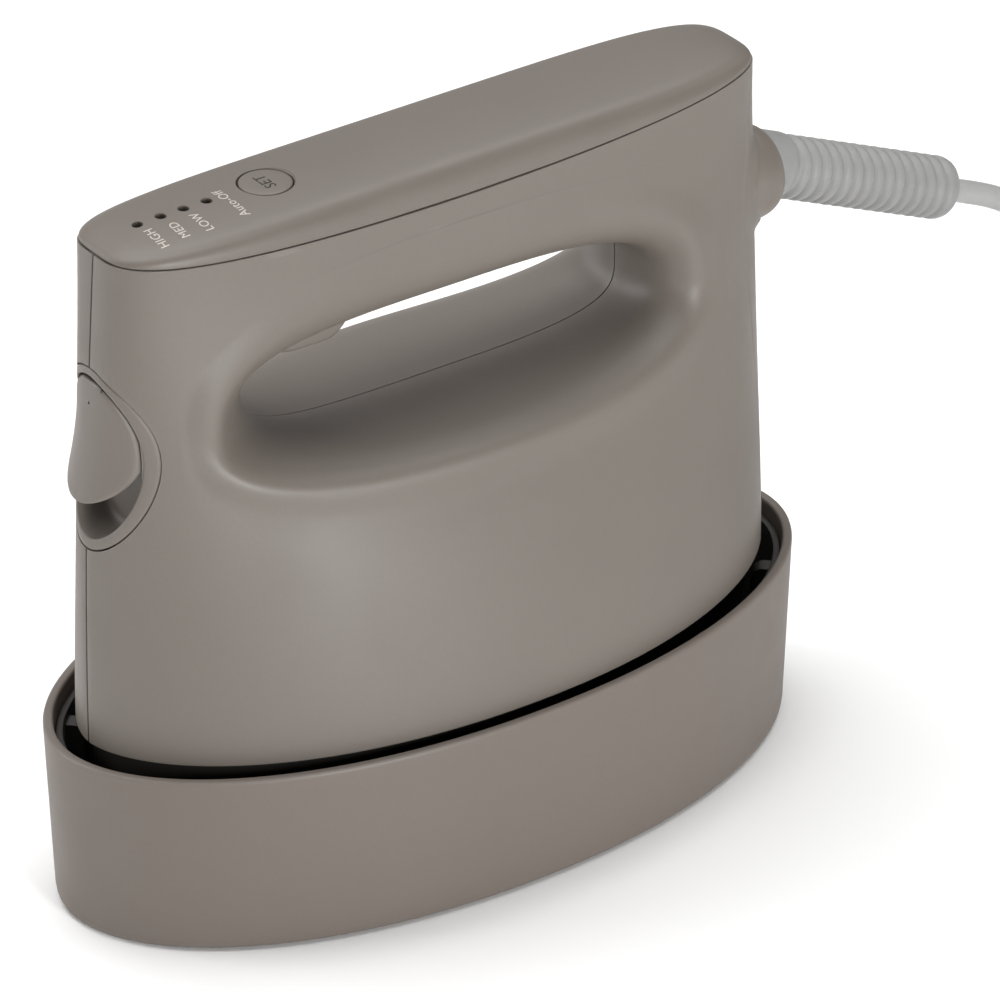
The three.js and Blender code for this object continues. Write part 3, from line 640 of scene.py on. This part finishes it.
def housing_rings():
    """One half of the housing, from the hand hole out to its joints and back inside."""
    q = square_steps()
    edge = edge_ring(q)
    # Keys of the smooth curve that rolls out of the hole and over its lip.
    keys = [loop_ring(loop, q) for loop in LOOPS]
    keys += [outer_ring(q, f, edge) for f in (0.0, OUTER_START, 2 * OUTER_START)]
    rings = []
    for k, steps in enumerate((*LOOP_SPANS, 5)):
        a = keys[k - 1] if k else 2 * keys[0] - keys[1]
        b, c, d = keys[k], keys[k + 1], keys[k + 2]
        rings += [between(a, b, c, d, i / steps) for i in range(steps)]
    first = math.asin(OUTER_START)
    lip_x, lip_z = loop_xz(*LIP, q)
    reach = np.hypot(edge[:, 0] - lip_x, edge[:, 2] - lip_z)
    for j in range(OUTER_RINGS):
        f = math.sin(first + (math.pi / 2 - first) * j / OUTER_RINGS)
        room = SEAM_ROUND + 0.08 * (OUTER_RINGS - j)
        rings.append(outer_ring(q, np.minimum(f, 1 - room / reach), edge))
    rings.append(edge)
    rings = np.array(rings)
    rings[..., 1] = np.maximum(rings[..., 1], CENTRE_GAP)
    out = normals(rings)
    inner = rings - WALL * out
    last_out = out[-2]
    inward = rings[-2] - rings[-1]
    inward /= np.maximum(np.linalg.norm(inward, axis=1), 1e-9)[:, None]
    inner[0, :, 1] = rings[0, :, 1]
    sides = np.abs(q[:, 0]) == 1
    inner[-1, sides, 1] = rings[-1, sides, 1]
    low, high = q[:, 1] == -1, q[:, 1] == 1
    inner[-1, low, 2] = BODY_BOTTOM
    inner[-1, high, 2] = rings[-1, high, 2]
    r = SEAM_ROUND
    rolled = [
        edge + r * inward,
        edge + 0.3 * r * inward - 0.3 * r * last_out,
        edge - r * last_out,
    ]
    # The inside keeps clear of the edge faces by a little more on every ring away from them.
    back_rings = [inner[-1]]
    for k, ring in enumerate(inner[-6:0:-4]):
        step = 0.03 * (k + 1)
        x, y, z = ring[:, 0], ring[:, 1], ring[:, 2]
        z = np.clip(z, BODY_BOTTOM + step, seam_z(x) - SEAM_GAP - step)
        low_y = np.where(x < NOSE_JOINT_X, CENTRE_GAP + step, CENTRE_GAP)
        low_y = np.where(x > TAIL_JOINT_X, rear_half(z) + GAP + step, low_y)
        back_rings.append(np.stack([x, np.maximum(y, low_y), z], 1))
    back_rings.append(inner[0])
    return [*rings[:-1], *rolled, *back_rings]


def prism_x(name, half_y, half_z, z_mid, x0, x1, count=96):
    """An oval bar along X, used as a cutting tool."""
    t = around(count)
    rings = [
        np.stack([np.full(count, float(x)), half_y * np.cos(t), z_mid + half_z * np.sin(t)], 1)
        for x in (x0, x1)
    ]
    return skin(name, rings, "black")


def box_tool(name, x0, x1, y0, y1, z0, z1):
    v = [(x, y, z) for x in (x0, x1) for y in (y0, y1) for z in (z0, z1)]
    f = [(0, 1, 3, 2), (4, 6, 7, 5), (0, 4, 5, 1), (2, 3, 7, 6), (0, 2, 6, 4), (1, 5, 7, 3)]
    return make(name, v, f, "black")


BEZEL_CUT_X = (-90, -58)
TRIGGER_SLOT = (-39.4, -13.2, -6.6, 6.6, 100, 117.4)
half_rings = housing_rings()
for piece, node, sign in (("left_half", "left_shell", -1), ("right_half", "right_shell", 1)):
    mirrored = [ring * np.array([1, sign, 1]) for ring in half_rings]
    shell = skin(piece, mirrored, "housing", closed=True)
    carve(
        shell,
        prism_x("bezel_tool", BEZEL_HALF_W + GAP, BEZEL_HALF_H + GAP, BEZEL_Z, *BEZEL_CUT_X),
        box_tool("slot_tool", *TRIGGER_SLOT),
    )
    settle(shell, "iron", "housing", node)

# ---- rear cover strip, socket dome, cord guard ---------------------------------
def grid_solid(name, front, back, material):
    """A closed shell between two grids of points of the same size."""
    rows, cols = front.shape[:2]
    verts = [tuple(p) for p in front.reshape(-1, 3)] + [tuple(p) for p in back.reshape(-1, 3)]
    far = rows * cols
    faces = []
    for j in range(rows - 1):
        for i in range(cols - 1):
            a, b = j * cols + i, (j + 1) * cols + i
            faces.append((a, a + 1, b + 1, b))
            faces.append((far + a, far + b, far + b + 1, far + a + 1))
    for j in range(rows - 1):
        for i in (0, cols - 1):
            a, b = j * cols + i, (j + 1) * cols + i
            faces.append((a, b, far + b, far + a))
    for i in range(cols - 1):
        for j in (0, rows - 1):
            a = j * cols + i
            faces.append((a, a + 1, far + a + 1, far + a))
    return make(name, verts, faces, material)


STRIP_ROWS, STRIP_COLS = 180, 61
SOCKET_FACE_Z = SOCKET_Z - 2.5
FILLET_REACH, FILLET_WIDTH, FILLET_RISE = 11.4, 1.7, 1.5
strip_front, strip_back = [], []
for j in range(STRIP_ROWS + 1):
    z = BODY_BOTTOM + (seam_z(SEAM_HALF) - SEAM_GAP - BODY_BOTTOM) * j / STRIP_ROWS
    y = float(rear_half(z)) * np.linspace(1, -1, STRIP_COLS)
    x = outer_x(y, z)
    level = np.full(STRIP_COLS, z) if j < STRIP_ROWS else seam_z(x) - SEAM_GAP
    strip_back.append(np.stack([x - WALL, y, level], 1))
    # A fillet swells out to meet the socket dome.
    away = np.hypot(y, (z - SOCKET_FACE_Z) * 0.97)
    x = x + FILLET_RISE * np.clip((FILLET_REACH - away) / FILLET_WIDTH, 0, 1) ** 2
    x[[0, -1]] -= 0.14
    x[[1, -2]] -= 0.02
    strip_front.append(np.stack([x, y, level], 1))
rear_cover = grid_solid("rear_strip", np.array(strip_front), np.array(strip_back), "housing")


def cord_lathe(name, profile, material, segments, sharp):
    """A closed lathe about the cord's slanting axis."""
    t = around(segments)
    rings = [np.array([along_cord(s, r, a) for a in t]) for r, s in profile]
    return skin(name, rings, material, closed=True, sharp=sharp)


def socket_lathe(name, profile, material, segments=96):
    """A capped lathe about the dome's level axis."""
    t = around(segments)
    rings = [
        np.stack(
            [np.full(segments, SOCKET_X + s), r * np.cos(t), SOCKET_FACE_Z + r * np.sin(t)], 1
        )
        for r, s in profile
    ]
    return skin(name, rings, material)


SOCKET_HOLE_R, DOME_R, DOME_STEPS = 9.4, 9.35, 14
socket_tool = socket_lathe("socket_tool", [(SOCKET_HOLE_R, -14), (SOCKET_HOLE_R, 12)], "black")
carve(rear_cover, socket_tool)
settle(rear_cover, "iron", "housing", "rear_cover")

dome_profile = [(0.01, -9), (DOME_R, -9), (DOME_R, -1), (DOME_R, 0.3)]
for k in range(1, DOME_STEPS + 1):
    a = math.pi / 2 * k / DOME_STEPS
    dome_profile.append((6.0 + 3.35 * math.cos(a) ** 0.9, 0.3 + 4.9 * math.sin(a) ** 1.05))
dome_profile += [(5.9, 5.22), (0.01, 5.25)]
dome = socket_lathe("cord_dome", dome_profile, "housing")
settle(dome, "iron", "housing", "cord_socket")

RIBS = 15
FIRST_RIB = 10.4
GUARD_BORE, COLLAR_R = 2.65, 6.4
RIB_SHAPE = (
    (0.0, 5.5), (0.1, 5.72), (0.22, 6.02), (0.36, 6.17), (0.5, 6.2), (0.64, 6.17), (0.78, 6.02),
    (0.9, 5.72),
)
rib_pitch = (GUARD_END - 1.6 - FIRST_RIB) / RIBS
guard_profile = [
    (GUARD_BORE, -3), (COLLAR_R, -3), (COLLAR_R, 8.2), (6.3, 8.9), (5.9, 9.3), (5.55, 9.9),
]
for k in range(RIBS):
    s0 = FIRST_RIB + k * rib_pitch
    for u, r in RIB_SHAPE:
        if k == RIBS - 1 and u > 0.5:
            break
        guard_profile.append((r, s0 + u * rib_pitch))
guard_profile += [
    (6.1, GUARD_END - 2.2), (5.8, GUARD_END - 1.3), (5.2, GUARD_END - 0.6),
    (4.5, GUARD_END - 0.1), (3.4, GUARD_END), (2.8, GUARD_END - 0.2),
    (GUARD_BORE, GUARD_END - 0.6),
]
guard = cord_lathe("cord_guard_ribbed", guard_profile, "guard", 80, 60)
settle(guard, "iron", "cord_fittings", "cord_guard")

# ---- top cover, button, lights -------------------------------------------------
COVER = (70.3, HANDLE_WIDTH / 2 + 0.1, 4.9, 3.6)
COVER_KEYS = [
    (0, 0), (0.03, 0.18), (0.12, 0.36), (0.34, 0.52), (0.7, 0.67), (1.2, 0.8), (1.85, 0.9),
    (2.7, 0.968), (3.8, 0.995), (5.4, 1.0),
]


CROWN_EDGE = 1.5


def cover_ring(inset, f, drop=0.0):
    """A ring of the cover, f of the way from its joint to its top, crowned inside its edge."""
    a, b, n, m = COVER
    crown = 0.0
    if inset > CROWN_EDGE and f > 0:
        crown = CROWN * max(0.0, 1 - ((b - inset) / (b - CROWN_EDGE)) ** 2)

    def level(x):
        return seam_z(x) + (top_z(x) - drop - seam_z(x)) * f + crown

    return ring_at(a - inset, b - inset, n, m, level, 192)


BUTTON_TOP = 140.15
cover_curve = catmull([(a, b, 0) for a, b in COVER_KEYS], 3)[:, :2]
cover_rings = [cover_ring(i, 1) for i in (13.6, 13, 12, 11, 10, 9, 8, 7, 6.2)]
cover_rings += [cover_ring(i, f) for i, f in cover_curve[:0:-1]]
cover_rings += [cover_ring(0.08, 0.02), cover_ring(0.3, 0), cover_ring(2.2, 0)]
cover_rings += [cover_ring(2.4, 1, 2.3), *(cover_ring(i, 1, 2.0) for i in (6, 10, 13))]
top_cover = skin("top_cover_form", cover_rings, "cover")


BUTTON_HOLE_R, TOOL_BASE = BUTTON_R + GAP, 130


def led_tool(x):
    top = top_z(x) + CROWN
    profile = [(1.05, TOOL_BASE), (1.05, top - 0.16), (1.2, top + 0.02), (1.2, top + 2)]
    return turned("led_tool", profile, "cover", 40, (x, 0, 0))


button_tool = turned(
    "button_tool",
    [(BUTTON_HOLE_R, TOOL_BASE), (BUTTON_HOLE_R, BUTTON_TOP - 0.18),
     (BUTTON_HOLE_R + 0.05, BUTTON_TOP - 0.1), (BUTTON_HOLE_R + 0.2, BUTTON_TOP + 0.05),
     (BUTTON_HOLE_R + 0.2, BUTTON_TOP + 2)],
    "cover", origin=(BUTTON_X, 0, 0),
)
carve(top_cover, button_tool, *[led_tool(x) for x in LED_X])
settle(top_cover, "iron", "cover", "top_cover")

set_button = turned(
    "set_button_cap",
    [(0.01, 136.6), (5.8, 136.6), (5.8, 137.4), (BUTTON_R, 137.4), (BUTTON_R, 139.8),
     (4.9, 139.97), (4.78, 140.08), (4.6, 140.13), (2.5, BUTTON_TOP), (0.01, BUTTON_TOP)],
    "cover", origin=(BUTTON_X, 0, 0),
)
settle(set_button, "set_button", "cover", "set_button")
for i, x in enumerate(LED_X):
    lens = turned(
        f"led_lens_{i + 1}",
        [(0.01, 132.5), (0.75, 132.5), (0.75, top_z(x) - 0.15), (0.62, top_z(x) + 0.1),
         (0.35, top_z(x) + 0.22), (0.01, top_z(x) + 0.25)],
        "lens", 32, (x, 0, 0),
    )
    settle(lens, "iron", "lamp", f"indicator_led_{i + 1}")


INK_LIFT, INK_HEIGHT = 0.012, 0.02


def label(name, rows, on, material, body):
    """Small printed words that follow the surface under them."""
    bm = bmesh.new()
    tree = BVHTree.FromObject(on, bpy.context.evaluated_depsgraph_get())
    for text, size, x, y, turn in rows:
        curve = bpy.data.curves.new("words", "FONT")
        curve.body = text
        curve.size = size * MM
        curve.align_x, curve.align_y = "CENTER", "CENTER"
        curve.space_character = 1.04
        curve.resolution_u = 4
        o = bpy.data.objects.new("words", curve)
        bpy.context.scene.collection.objects.link(o)
        bpy.context.view_layer.update()
        evaluated = o.evaluated_get(bpy.context.evaluated_depsgraph_get())
        flat = bpy.data.meshes.new_from_object(evaluated)
        flat.transform(Matrix.Translation((x * MM, y * MM, 0)) @ Matrix.Rotation(turn, 4, "Z"))
        bm.from_mesh(flat)
        bpy.data.objects.remove(o)
    for v in bm.verts:
        hit = tree.ray_cast(Vector((v.co.x, v.co.y, 0.2)), Vector((0, 0, -1)))[0]
        v.co.z = (hit.z if hit is not None else TOP * MM) + INK_LIFT * MM
    bmesh.ops.triangulate(bm, faces=bm.faces)
    top = list(bm.faces)
    made = bmesh.ops.extrude_face_region(bm, geom=top)
    for v in [g for g in made["geom"] if isinstance(g, bmesh.types.BMVert)]:
        v.co.z += INK_HEIGHT * MM
    bmesh.ops.recalc_face_normals(bm, faces=bm.faces)
    mesh = bpy.data.meshes.new(name)
    bm.to_mesh(mesh)
    bm.free()
    piece = bpy.data.objects.new(name, mesh)
    bpy.context.scene.collection.objects.link(piece)
    mesh.materials.append(MAT[material])
    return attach(piece, body)


READ = math.pi / 2
label(
    "steam_level_marks",
    [("HIGH", 2.5, LED_X[0] + 0.5, -5.6, READ), ("MED", 2.5, LED_X[1] + 0.3, -5.65, READ),
     ("LOW", 2.5, LED_X[2] + 0.3, -5.6, READ), ("Auto-Off", 2.6, LED_X[3] + 3.3, -3.0, READ)],
    top_cover, "mark", "iron",
)
label("set_mark", [("SET", 3.15, BUTTON_X, 0, READ)], set_button, "mark_dark", "set_button")

# ---- filler surround and lid -----------------------------------------------------
NOSE_STEPS = around(144)


def bezel_ring(half_y, half_z, z_mid, x=None, sink=0.0):
    """An upright oval ring, flat at x or sunk under the nose's surface."""
    y, z = half_y * np.cos(NOSE_STEPS), z_mid + half_z * np.sin(NOSE_STEPS)
    level = np.full(len(y), float(x)) if x is not None else sink - outer_x(y, z)
    return np.stack([level, y, z], 1)


RECESS = (10.1, 16.2, BEZEL_Z + 0.3)


def recess_ring(inset, x=None, sink=0.0):
    return bezel_ring(RECESS[0] - inset, RECESS[1] - inset, RECESS[2], x, sink)


def rim_ring(inset, x=None, sink=0.0):
    return bezel_ring(BEZEL_HALF_W - inset, BEZEL_HALF_H - inset, BEZEL_Z, x, sink)


def neck_ring(radius, x):
    return bezel_ring(radius, radius, NECK_Z, x)


BACK_X, FLOOR_X, NECK_Z, NECK_R = -63.8, -66.0, 97, 4.6
bezel_rings = [
    rim_ring(0.0, x=BACK_X),
    rim_ring(0.0, sink=0.28),
    rim_ring(0.06, sink=0.1),
    rim_ring(0.24, sink=0.0),
    rim_ring(0.9, sink=-0.03),
    recess_ring(-0.42, sink=-0.02),
    recess_ring(-0.22, sink=0.04),
    recess_ring(-0.05, sink=0.2),
    recess_ring(0.0, sink=0.45),
    recess_ring(0.02, x=-68.0),
    recess_ring(0.1, x=-67.3),
    recess_ring(0.4, x=-66.6),
    recess_ring(0.95, x=-66.15),
    recess_ring(1.6, x=FLOOR_X),
    neck_ring(5.6, FLOOR_X),
    neck_ring(4.85, FLOOR_X),
    neck_ring(NECK_R, FLOOR_X + 0.25),
    neck_ring(NECK_R, BACK_X),
]
for ring in bezel_rings:
    ring[:, 0] = np.minimum(ring[:, 0], BACK_X)
bezel = skin("filler_surround", bezel_rings, "housing", closed=True)
settle(bezel, "iron", "housing", "filler_bezel")


LID_MID = 98.0
LID_HALF_W, LID_HALF_H = 9.65, 15.75
CHIN_HALF_W, CHIN_Z = 9.9, 98.5


def lid_half_width(z):
    """Inside the recess's oval, and drawn in to a round chin at the bottom."""
    pocket = LID_HALF_W * np.sqrt(np.maximum(0, 1 - ((z - BEZEL_Z - 0.3) / LID_HALF_H) ** 2))
    drop = np.maximum(0, CHIN_Z - z) / (CHIN_Z - LID_LOW)
    chin = CHIN_HALF_W * np.sqrt(np.maximum(0, 1 - drop ** 2))
    return np.minimum(pocket, chin)


def lid_ring(f, depth):
    """The lid's outline drawn in to f; its lower part flares away from the nose."""
    dz, dy = np.sin(NOSE_STEPS), np.cos(NOSE_STEPS)
    z_edge = LID_MID + dz * np.where(dz > 0, LID_TOP - LID_MID, LID_MID - LID_LOW)
    y = lid_half_width(z_edge) * np.where(np.abs(dy) > 1e-9, np.sign(dy), 0)
    z = LID_MID + (z_edge - LID_MID) * f
    flare = 2.5 * np.maximum(0, (105 - z) / 16.4) ** 1.7
    return np.stack([-outer_x(y * f, z) - flare + depth, y * f, z], 1)


LID_SHELLS = [
    *((f, 0) for f in (0.06, 0.2, 0.35, 0.5, 0.64, 0.76, 0.86, 0.925)),
    (0.962, 0.05), (0.985, 0.16), (0.997, 0.34), (1, 0.55), (1, 1.15), (0.99, 1.4), (0.96, 1.55),
    *((f, 1.6) for f in (0.9, 0.6, 0.3, 0.06)),
]
lid = skin("filler_lid_form", [lid_ring(f, d) for f, d in LID_SHELLS], "housing")
dot = turned("dot_tool", [(0.01, -1), (0.28, -1), (0.28, 1), (0.01, 1)], "black", 24)
dot.matrix_world = Matrix.Translation(
    Vector((-float(outer_x(0.0, 108.2)), -0.2, 107.6)) * MM
) @ Matrix.Rotation(math.pi / 2, 4, "Y")
carve(lid, dot)
settle(lid, "filler_lid", "housing", "filler_lid")

# ---- trigger ---------------------------------------------------------------------
TRIGGER = [
    (-38.6, 112.8), (-37.8, 110.4), (-36.2, 108.4), (-33, 107.5), (-29, 107.3), (-25.5, 107.3),
    (-23.4, 107.7), (-21.6, 109), (-19.8, 110.9), (-17.2, 112.2), (-14.6, 113.4), (-14, 115),
    (-14, 117.2), (-24, 117.5), (-35, 117.8), (-38.4, 117.2), (-38.7, 115.2),
]
outline = catmull([(x, z, 0) for x, z in [*TRIGGER, TRIGGER[0]]], 5)[:-1, :2]
outline_mid = outline.mean(axis=0)
TRIGGER_EDGE = ((4.6, 0.0), (5.2, 0.14), (5.6, 0.42), (5.82, 0.85), (5.9, 1.4))
trigger_rings = []
for y, inset in [*((-y, inset) for y, inset in TRIGGER_EDGE[::-1]), *TRIGGER_EDGE]:
    d = outline - outline_mid
    pulled = outline_mid + d * (1 - inset / np.linalg.norm(d, axis=1))[:, None]
    trigger_rings.append(np.stack([pulled[:, 0], np.full(len(pulled), y), pulled[:, 1]], 1))
trigger = skin("trigger_form", trigger_rings, "housing")
settle(trigger, "steam_trigger", "housing", "steam_trigger")

# ---- stand -----------------------------------------------------------------------
def stand_ring(inset, z, count=256):
    """A ring of the leaning oval wall, inset from its outer face."""
    lean = STAND_TAPER * (1 - z / STAND_HEIGHT)
    half_x, half_y = STAND_LENGTH / 2 - lean - inset, STAND_WIDTH / 2 - 0.35 * lean - inset
    return ring_at(half_x, half_y, 2.11, 1.95, z, count)


wall_levels = [2.2 + (36.2 - 2.2) * k / 12 for k in range(13)]
stand_rings = [stand_ring(0.95, 0.3), stand_ring(0.42, 0.62), stand_ring(0.12, 1.25)]
stand_rings += [stand_ring(0, z) for z in wall_levels]
stand_rings += [stand_ring(i, z) for i, z in (
    (0.03, 36.55), (0.13, 36.85), (0.3, 37.03), (0.55, STAND_HEIGHT), (1.45, STAND_HEIGHT),
    (1.7, 37.03), (1.87, 36.85), (1.97, 36.55), (STAND_WALL, 36.2), (STAND_WALL, 3.2),
    (STAND_WALL, 0.3))]
stand_outer = skin("stand_wall", stand_rings, "stand", closed=True)
settle(stand_outer, "stand", "stand", "stand_shell")
LINER_IN = STAND_WALL + GAP
liner_rings = [stand_ring(LINER_IN + i, z) for i, z in (
    (3, 3.6), (0, 5), (0, 33.7), (0.1, 33.92), (0.3, 34), (1.1, 34), (1.32, 33.9), (1.4, 33.7),
    (1.4, 8), (1.9, 6.4), (3.4, 5.4), (5, 5.2), (20, 5.2))]
liner = skin("stand_lining", liner_rings, "black")
settle(liner, "stand", "black_plastic", "stand_liner")
RIB_ANGLES = (0.42, 0.95, 1.57, 2.19, 2.72)
RIB_OUTLINE = ((-1.7, -2.5), (-1.7, 1.9), (-1.2, 2.4), (1.2, 2.4), (1.7, 1.9), (1.7, -2.5))
RIB_LEVELS = ((5.1, 0.0), (30.2, 0.0), (31.6, 0.35), (32.2, 1.1), (32.3, 1.6))
for k, angle in enumerate(RIB_ANGLES):
    for side in (1, -1):
        x = (STAND_LENGTH / 2 - LINER_IN - 3.2) * math.cos(angle)
        y = side * (STAND_WIDTH / 2 - LINER_IN - 2.6) * math.sin(angle)
        turn = math.atan2(y / 36 ** 2, x / 77 ** 2)
        c, s = math.cos(turn), math.sin(turn)
        profile = []
        for z, shrink in RIB_LEVELS:
            ring = []
            for u, v in RIB_OUTLINE:
                px, py = (-(v - shrink if v > 0 else v), u)
                ring.append((x + px * c - py * s, y + px * s + py * c, z))
            profile.append(ring)
        rib = skin(f"lining_rib_{k + 1}_{'a' if side > 0 else 'b'}", profile, "black")
        settle(rib, "stand", "black_plastic")
for k, (x, y) in enumerate(((-50, -13), (-50, 13), (50, -13), (50, 13))):
    rest = []
    for z, grow in ((5.1, 0.4), (6, 0), (13.2, 0), (13.8, -0.25), (14, -0.8)):
        rest.append(ring_at(4 + grow, 3 + grow, 5, 5, z, 40) + np.array([x, y, 0]))
    settle(skin(f"rest_post_{k + 1}", rest, "black"), "stand", "black_plastic")
SKIRT = [
    (70.6, 31.9, 22.6), (71.2, 32.5, 26), (71.6, 32.8, 30), (71.55, 32.75, 36), (71.4, 32.6, 41),
    (69.7, 30.9, 41), (69.9, 31.1, 30), (68.9, 30.2, 22.6),
]
skirt_rings = [ring_at(a, b, 2.1, 1.9, z, 192) for a, b, z in SKIRT]
skirt = skin("sole_skirt", skirt_rings, "black", closed=True)
settle(skirt, "iron", "black_plastic", "heat_skirt")

# ---- plug --------------------------------------------------------------------------
PLUG_AT, PLUG_TURN = (222.0, -24.0, 8.0), -math.pi / 2
# Along the plug from the cord: distance, half width, half height.
PLUG_STEPS = [
    (0, 3.2, 3.2), (0.4, 3.8, 3.8), (2.2, 4.2, 4.2), (5, 5, 5), (7.4, 6.8, 5.8), (9.6, 9.2, 6.6),
    (13, 10.5, 7), (18, 11.3, 7.3), (23, 11.9, 7.6), (26, 12, 7.8), (27.3, 11.9, 7.8),
    (27.8, 11.5, 7.5), (28, 10.8, 6.9),
]
ROUND_LENGTH = 9
plug_cos, plug_sin = math.cos(PLUG_TURN), math.sin(PLUG_TURN)
plug_rings = []
t = around(64)
for s, half_w, half_h in catmull(PLUG_STEPS, 4):
    e = 0.7 + 0.3 * max(0.0, 1 - s / ROUND_LENGTH)
    across, height = half_w * power(np.cos(t), e), half_h * power(np.sin(t), e)
    x = PLUG_AT[0] + s * plug_cos - across * plug_sin
    y = PLUG_AT[1] + s * plug_sin + across * plug_cos
    plug_rings.append(np.stack([x, y, PLUG_AT[2] + height], 1))
plug = skin("plug_form", plug_rings, "plug", sharp=50)
settle(plug, "stand", "cord_fittings", "plug_body")

# ---- tie round the coil --------------------------------------------------------------
TIE_MID = (COIL_X, COIL_Y - 27.0)
TIE_CENTRE = (0.0, 10.0)
TIE_SIDE = [
    (5, 0.34), (8.2, 0.5), (9.6, 1.9), (9.9, 5), (9.9, 10.5), (9.8, 16.6), (8.8, 19.1), (6, 19.9),
]
TIE_LOOP = [(0, 0.34), *TIE_SIDE, (0, 20.05), *((-y, z) for y, z in TIE_SIDE[::-1])]
loop = catmull([(a, b, 0) for a, b in [*TIE_LOOP, TIE_LOOP[0]]], 6)[:-1, :2]
d = loop - TIE_CENTRE
outward = d / np.linalg.norm(d, axis=1)[:, None]
tie_rings = []
for x, grow in ((-2.9, 0.32), (-3, 0.2), (-2.9, 0.0), (2.9, 0.0), (3, 0.2), (2.9, 0.32)):
    pushed = loop + grow * outward
    tie_rings.append(
        np.stack(
            [np.full(len(loop), TIE_MID[0] + x), TIE_MID[1] + pushed[:, 0], pushed[:, 1]], 1
        )
    )
tie = skin("tie_form", tie_rings, "tie", closed=True)
settle(tie, "stand", "tie", "cord_tie")

# ---- finishes of the frame's own nodes -----------------------------------------------

FINISH = {
    "stand_base": "black", "cord_clamp": "black", "set_switch": "black", "trigger_switch": "black",
    "soleplate": "sole", "heating_element": "heater", "thermostat": "aluminium",
    "chamber_cover": "aluminium", "chamber_gasket": "gasket", "filler_seal": "seal",
    "water_tank": "tank", "tank_lid": "tank", "filler_neck": "tank", "suction_hose": "hose",
    "steam_hose": "hose", "pump": "pump", "thermal_fuse": "ceramic", "control_board": "board",
    "trigger_pin": "steel", "lid_hinge_pin": "dark_steel", "trigger_spring": "steel",
    "plug_blade_1": "brass", "plug_blade_2": "brass",
    **{f"base_screw_{i}": "steel" for i in (1, 2, 3, 4)},
}
for node, finish in FINISH.items():
    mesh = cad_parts[node].data
    mesh.materials.clear()
    mesh.materials.append(MAT[finish])
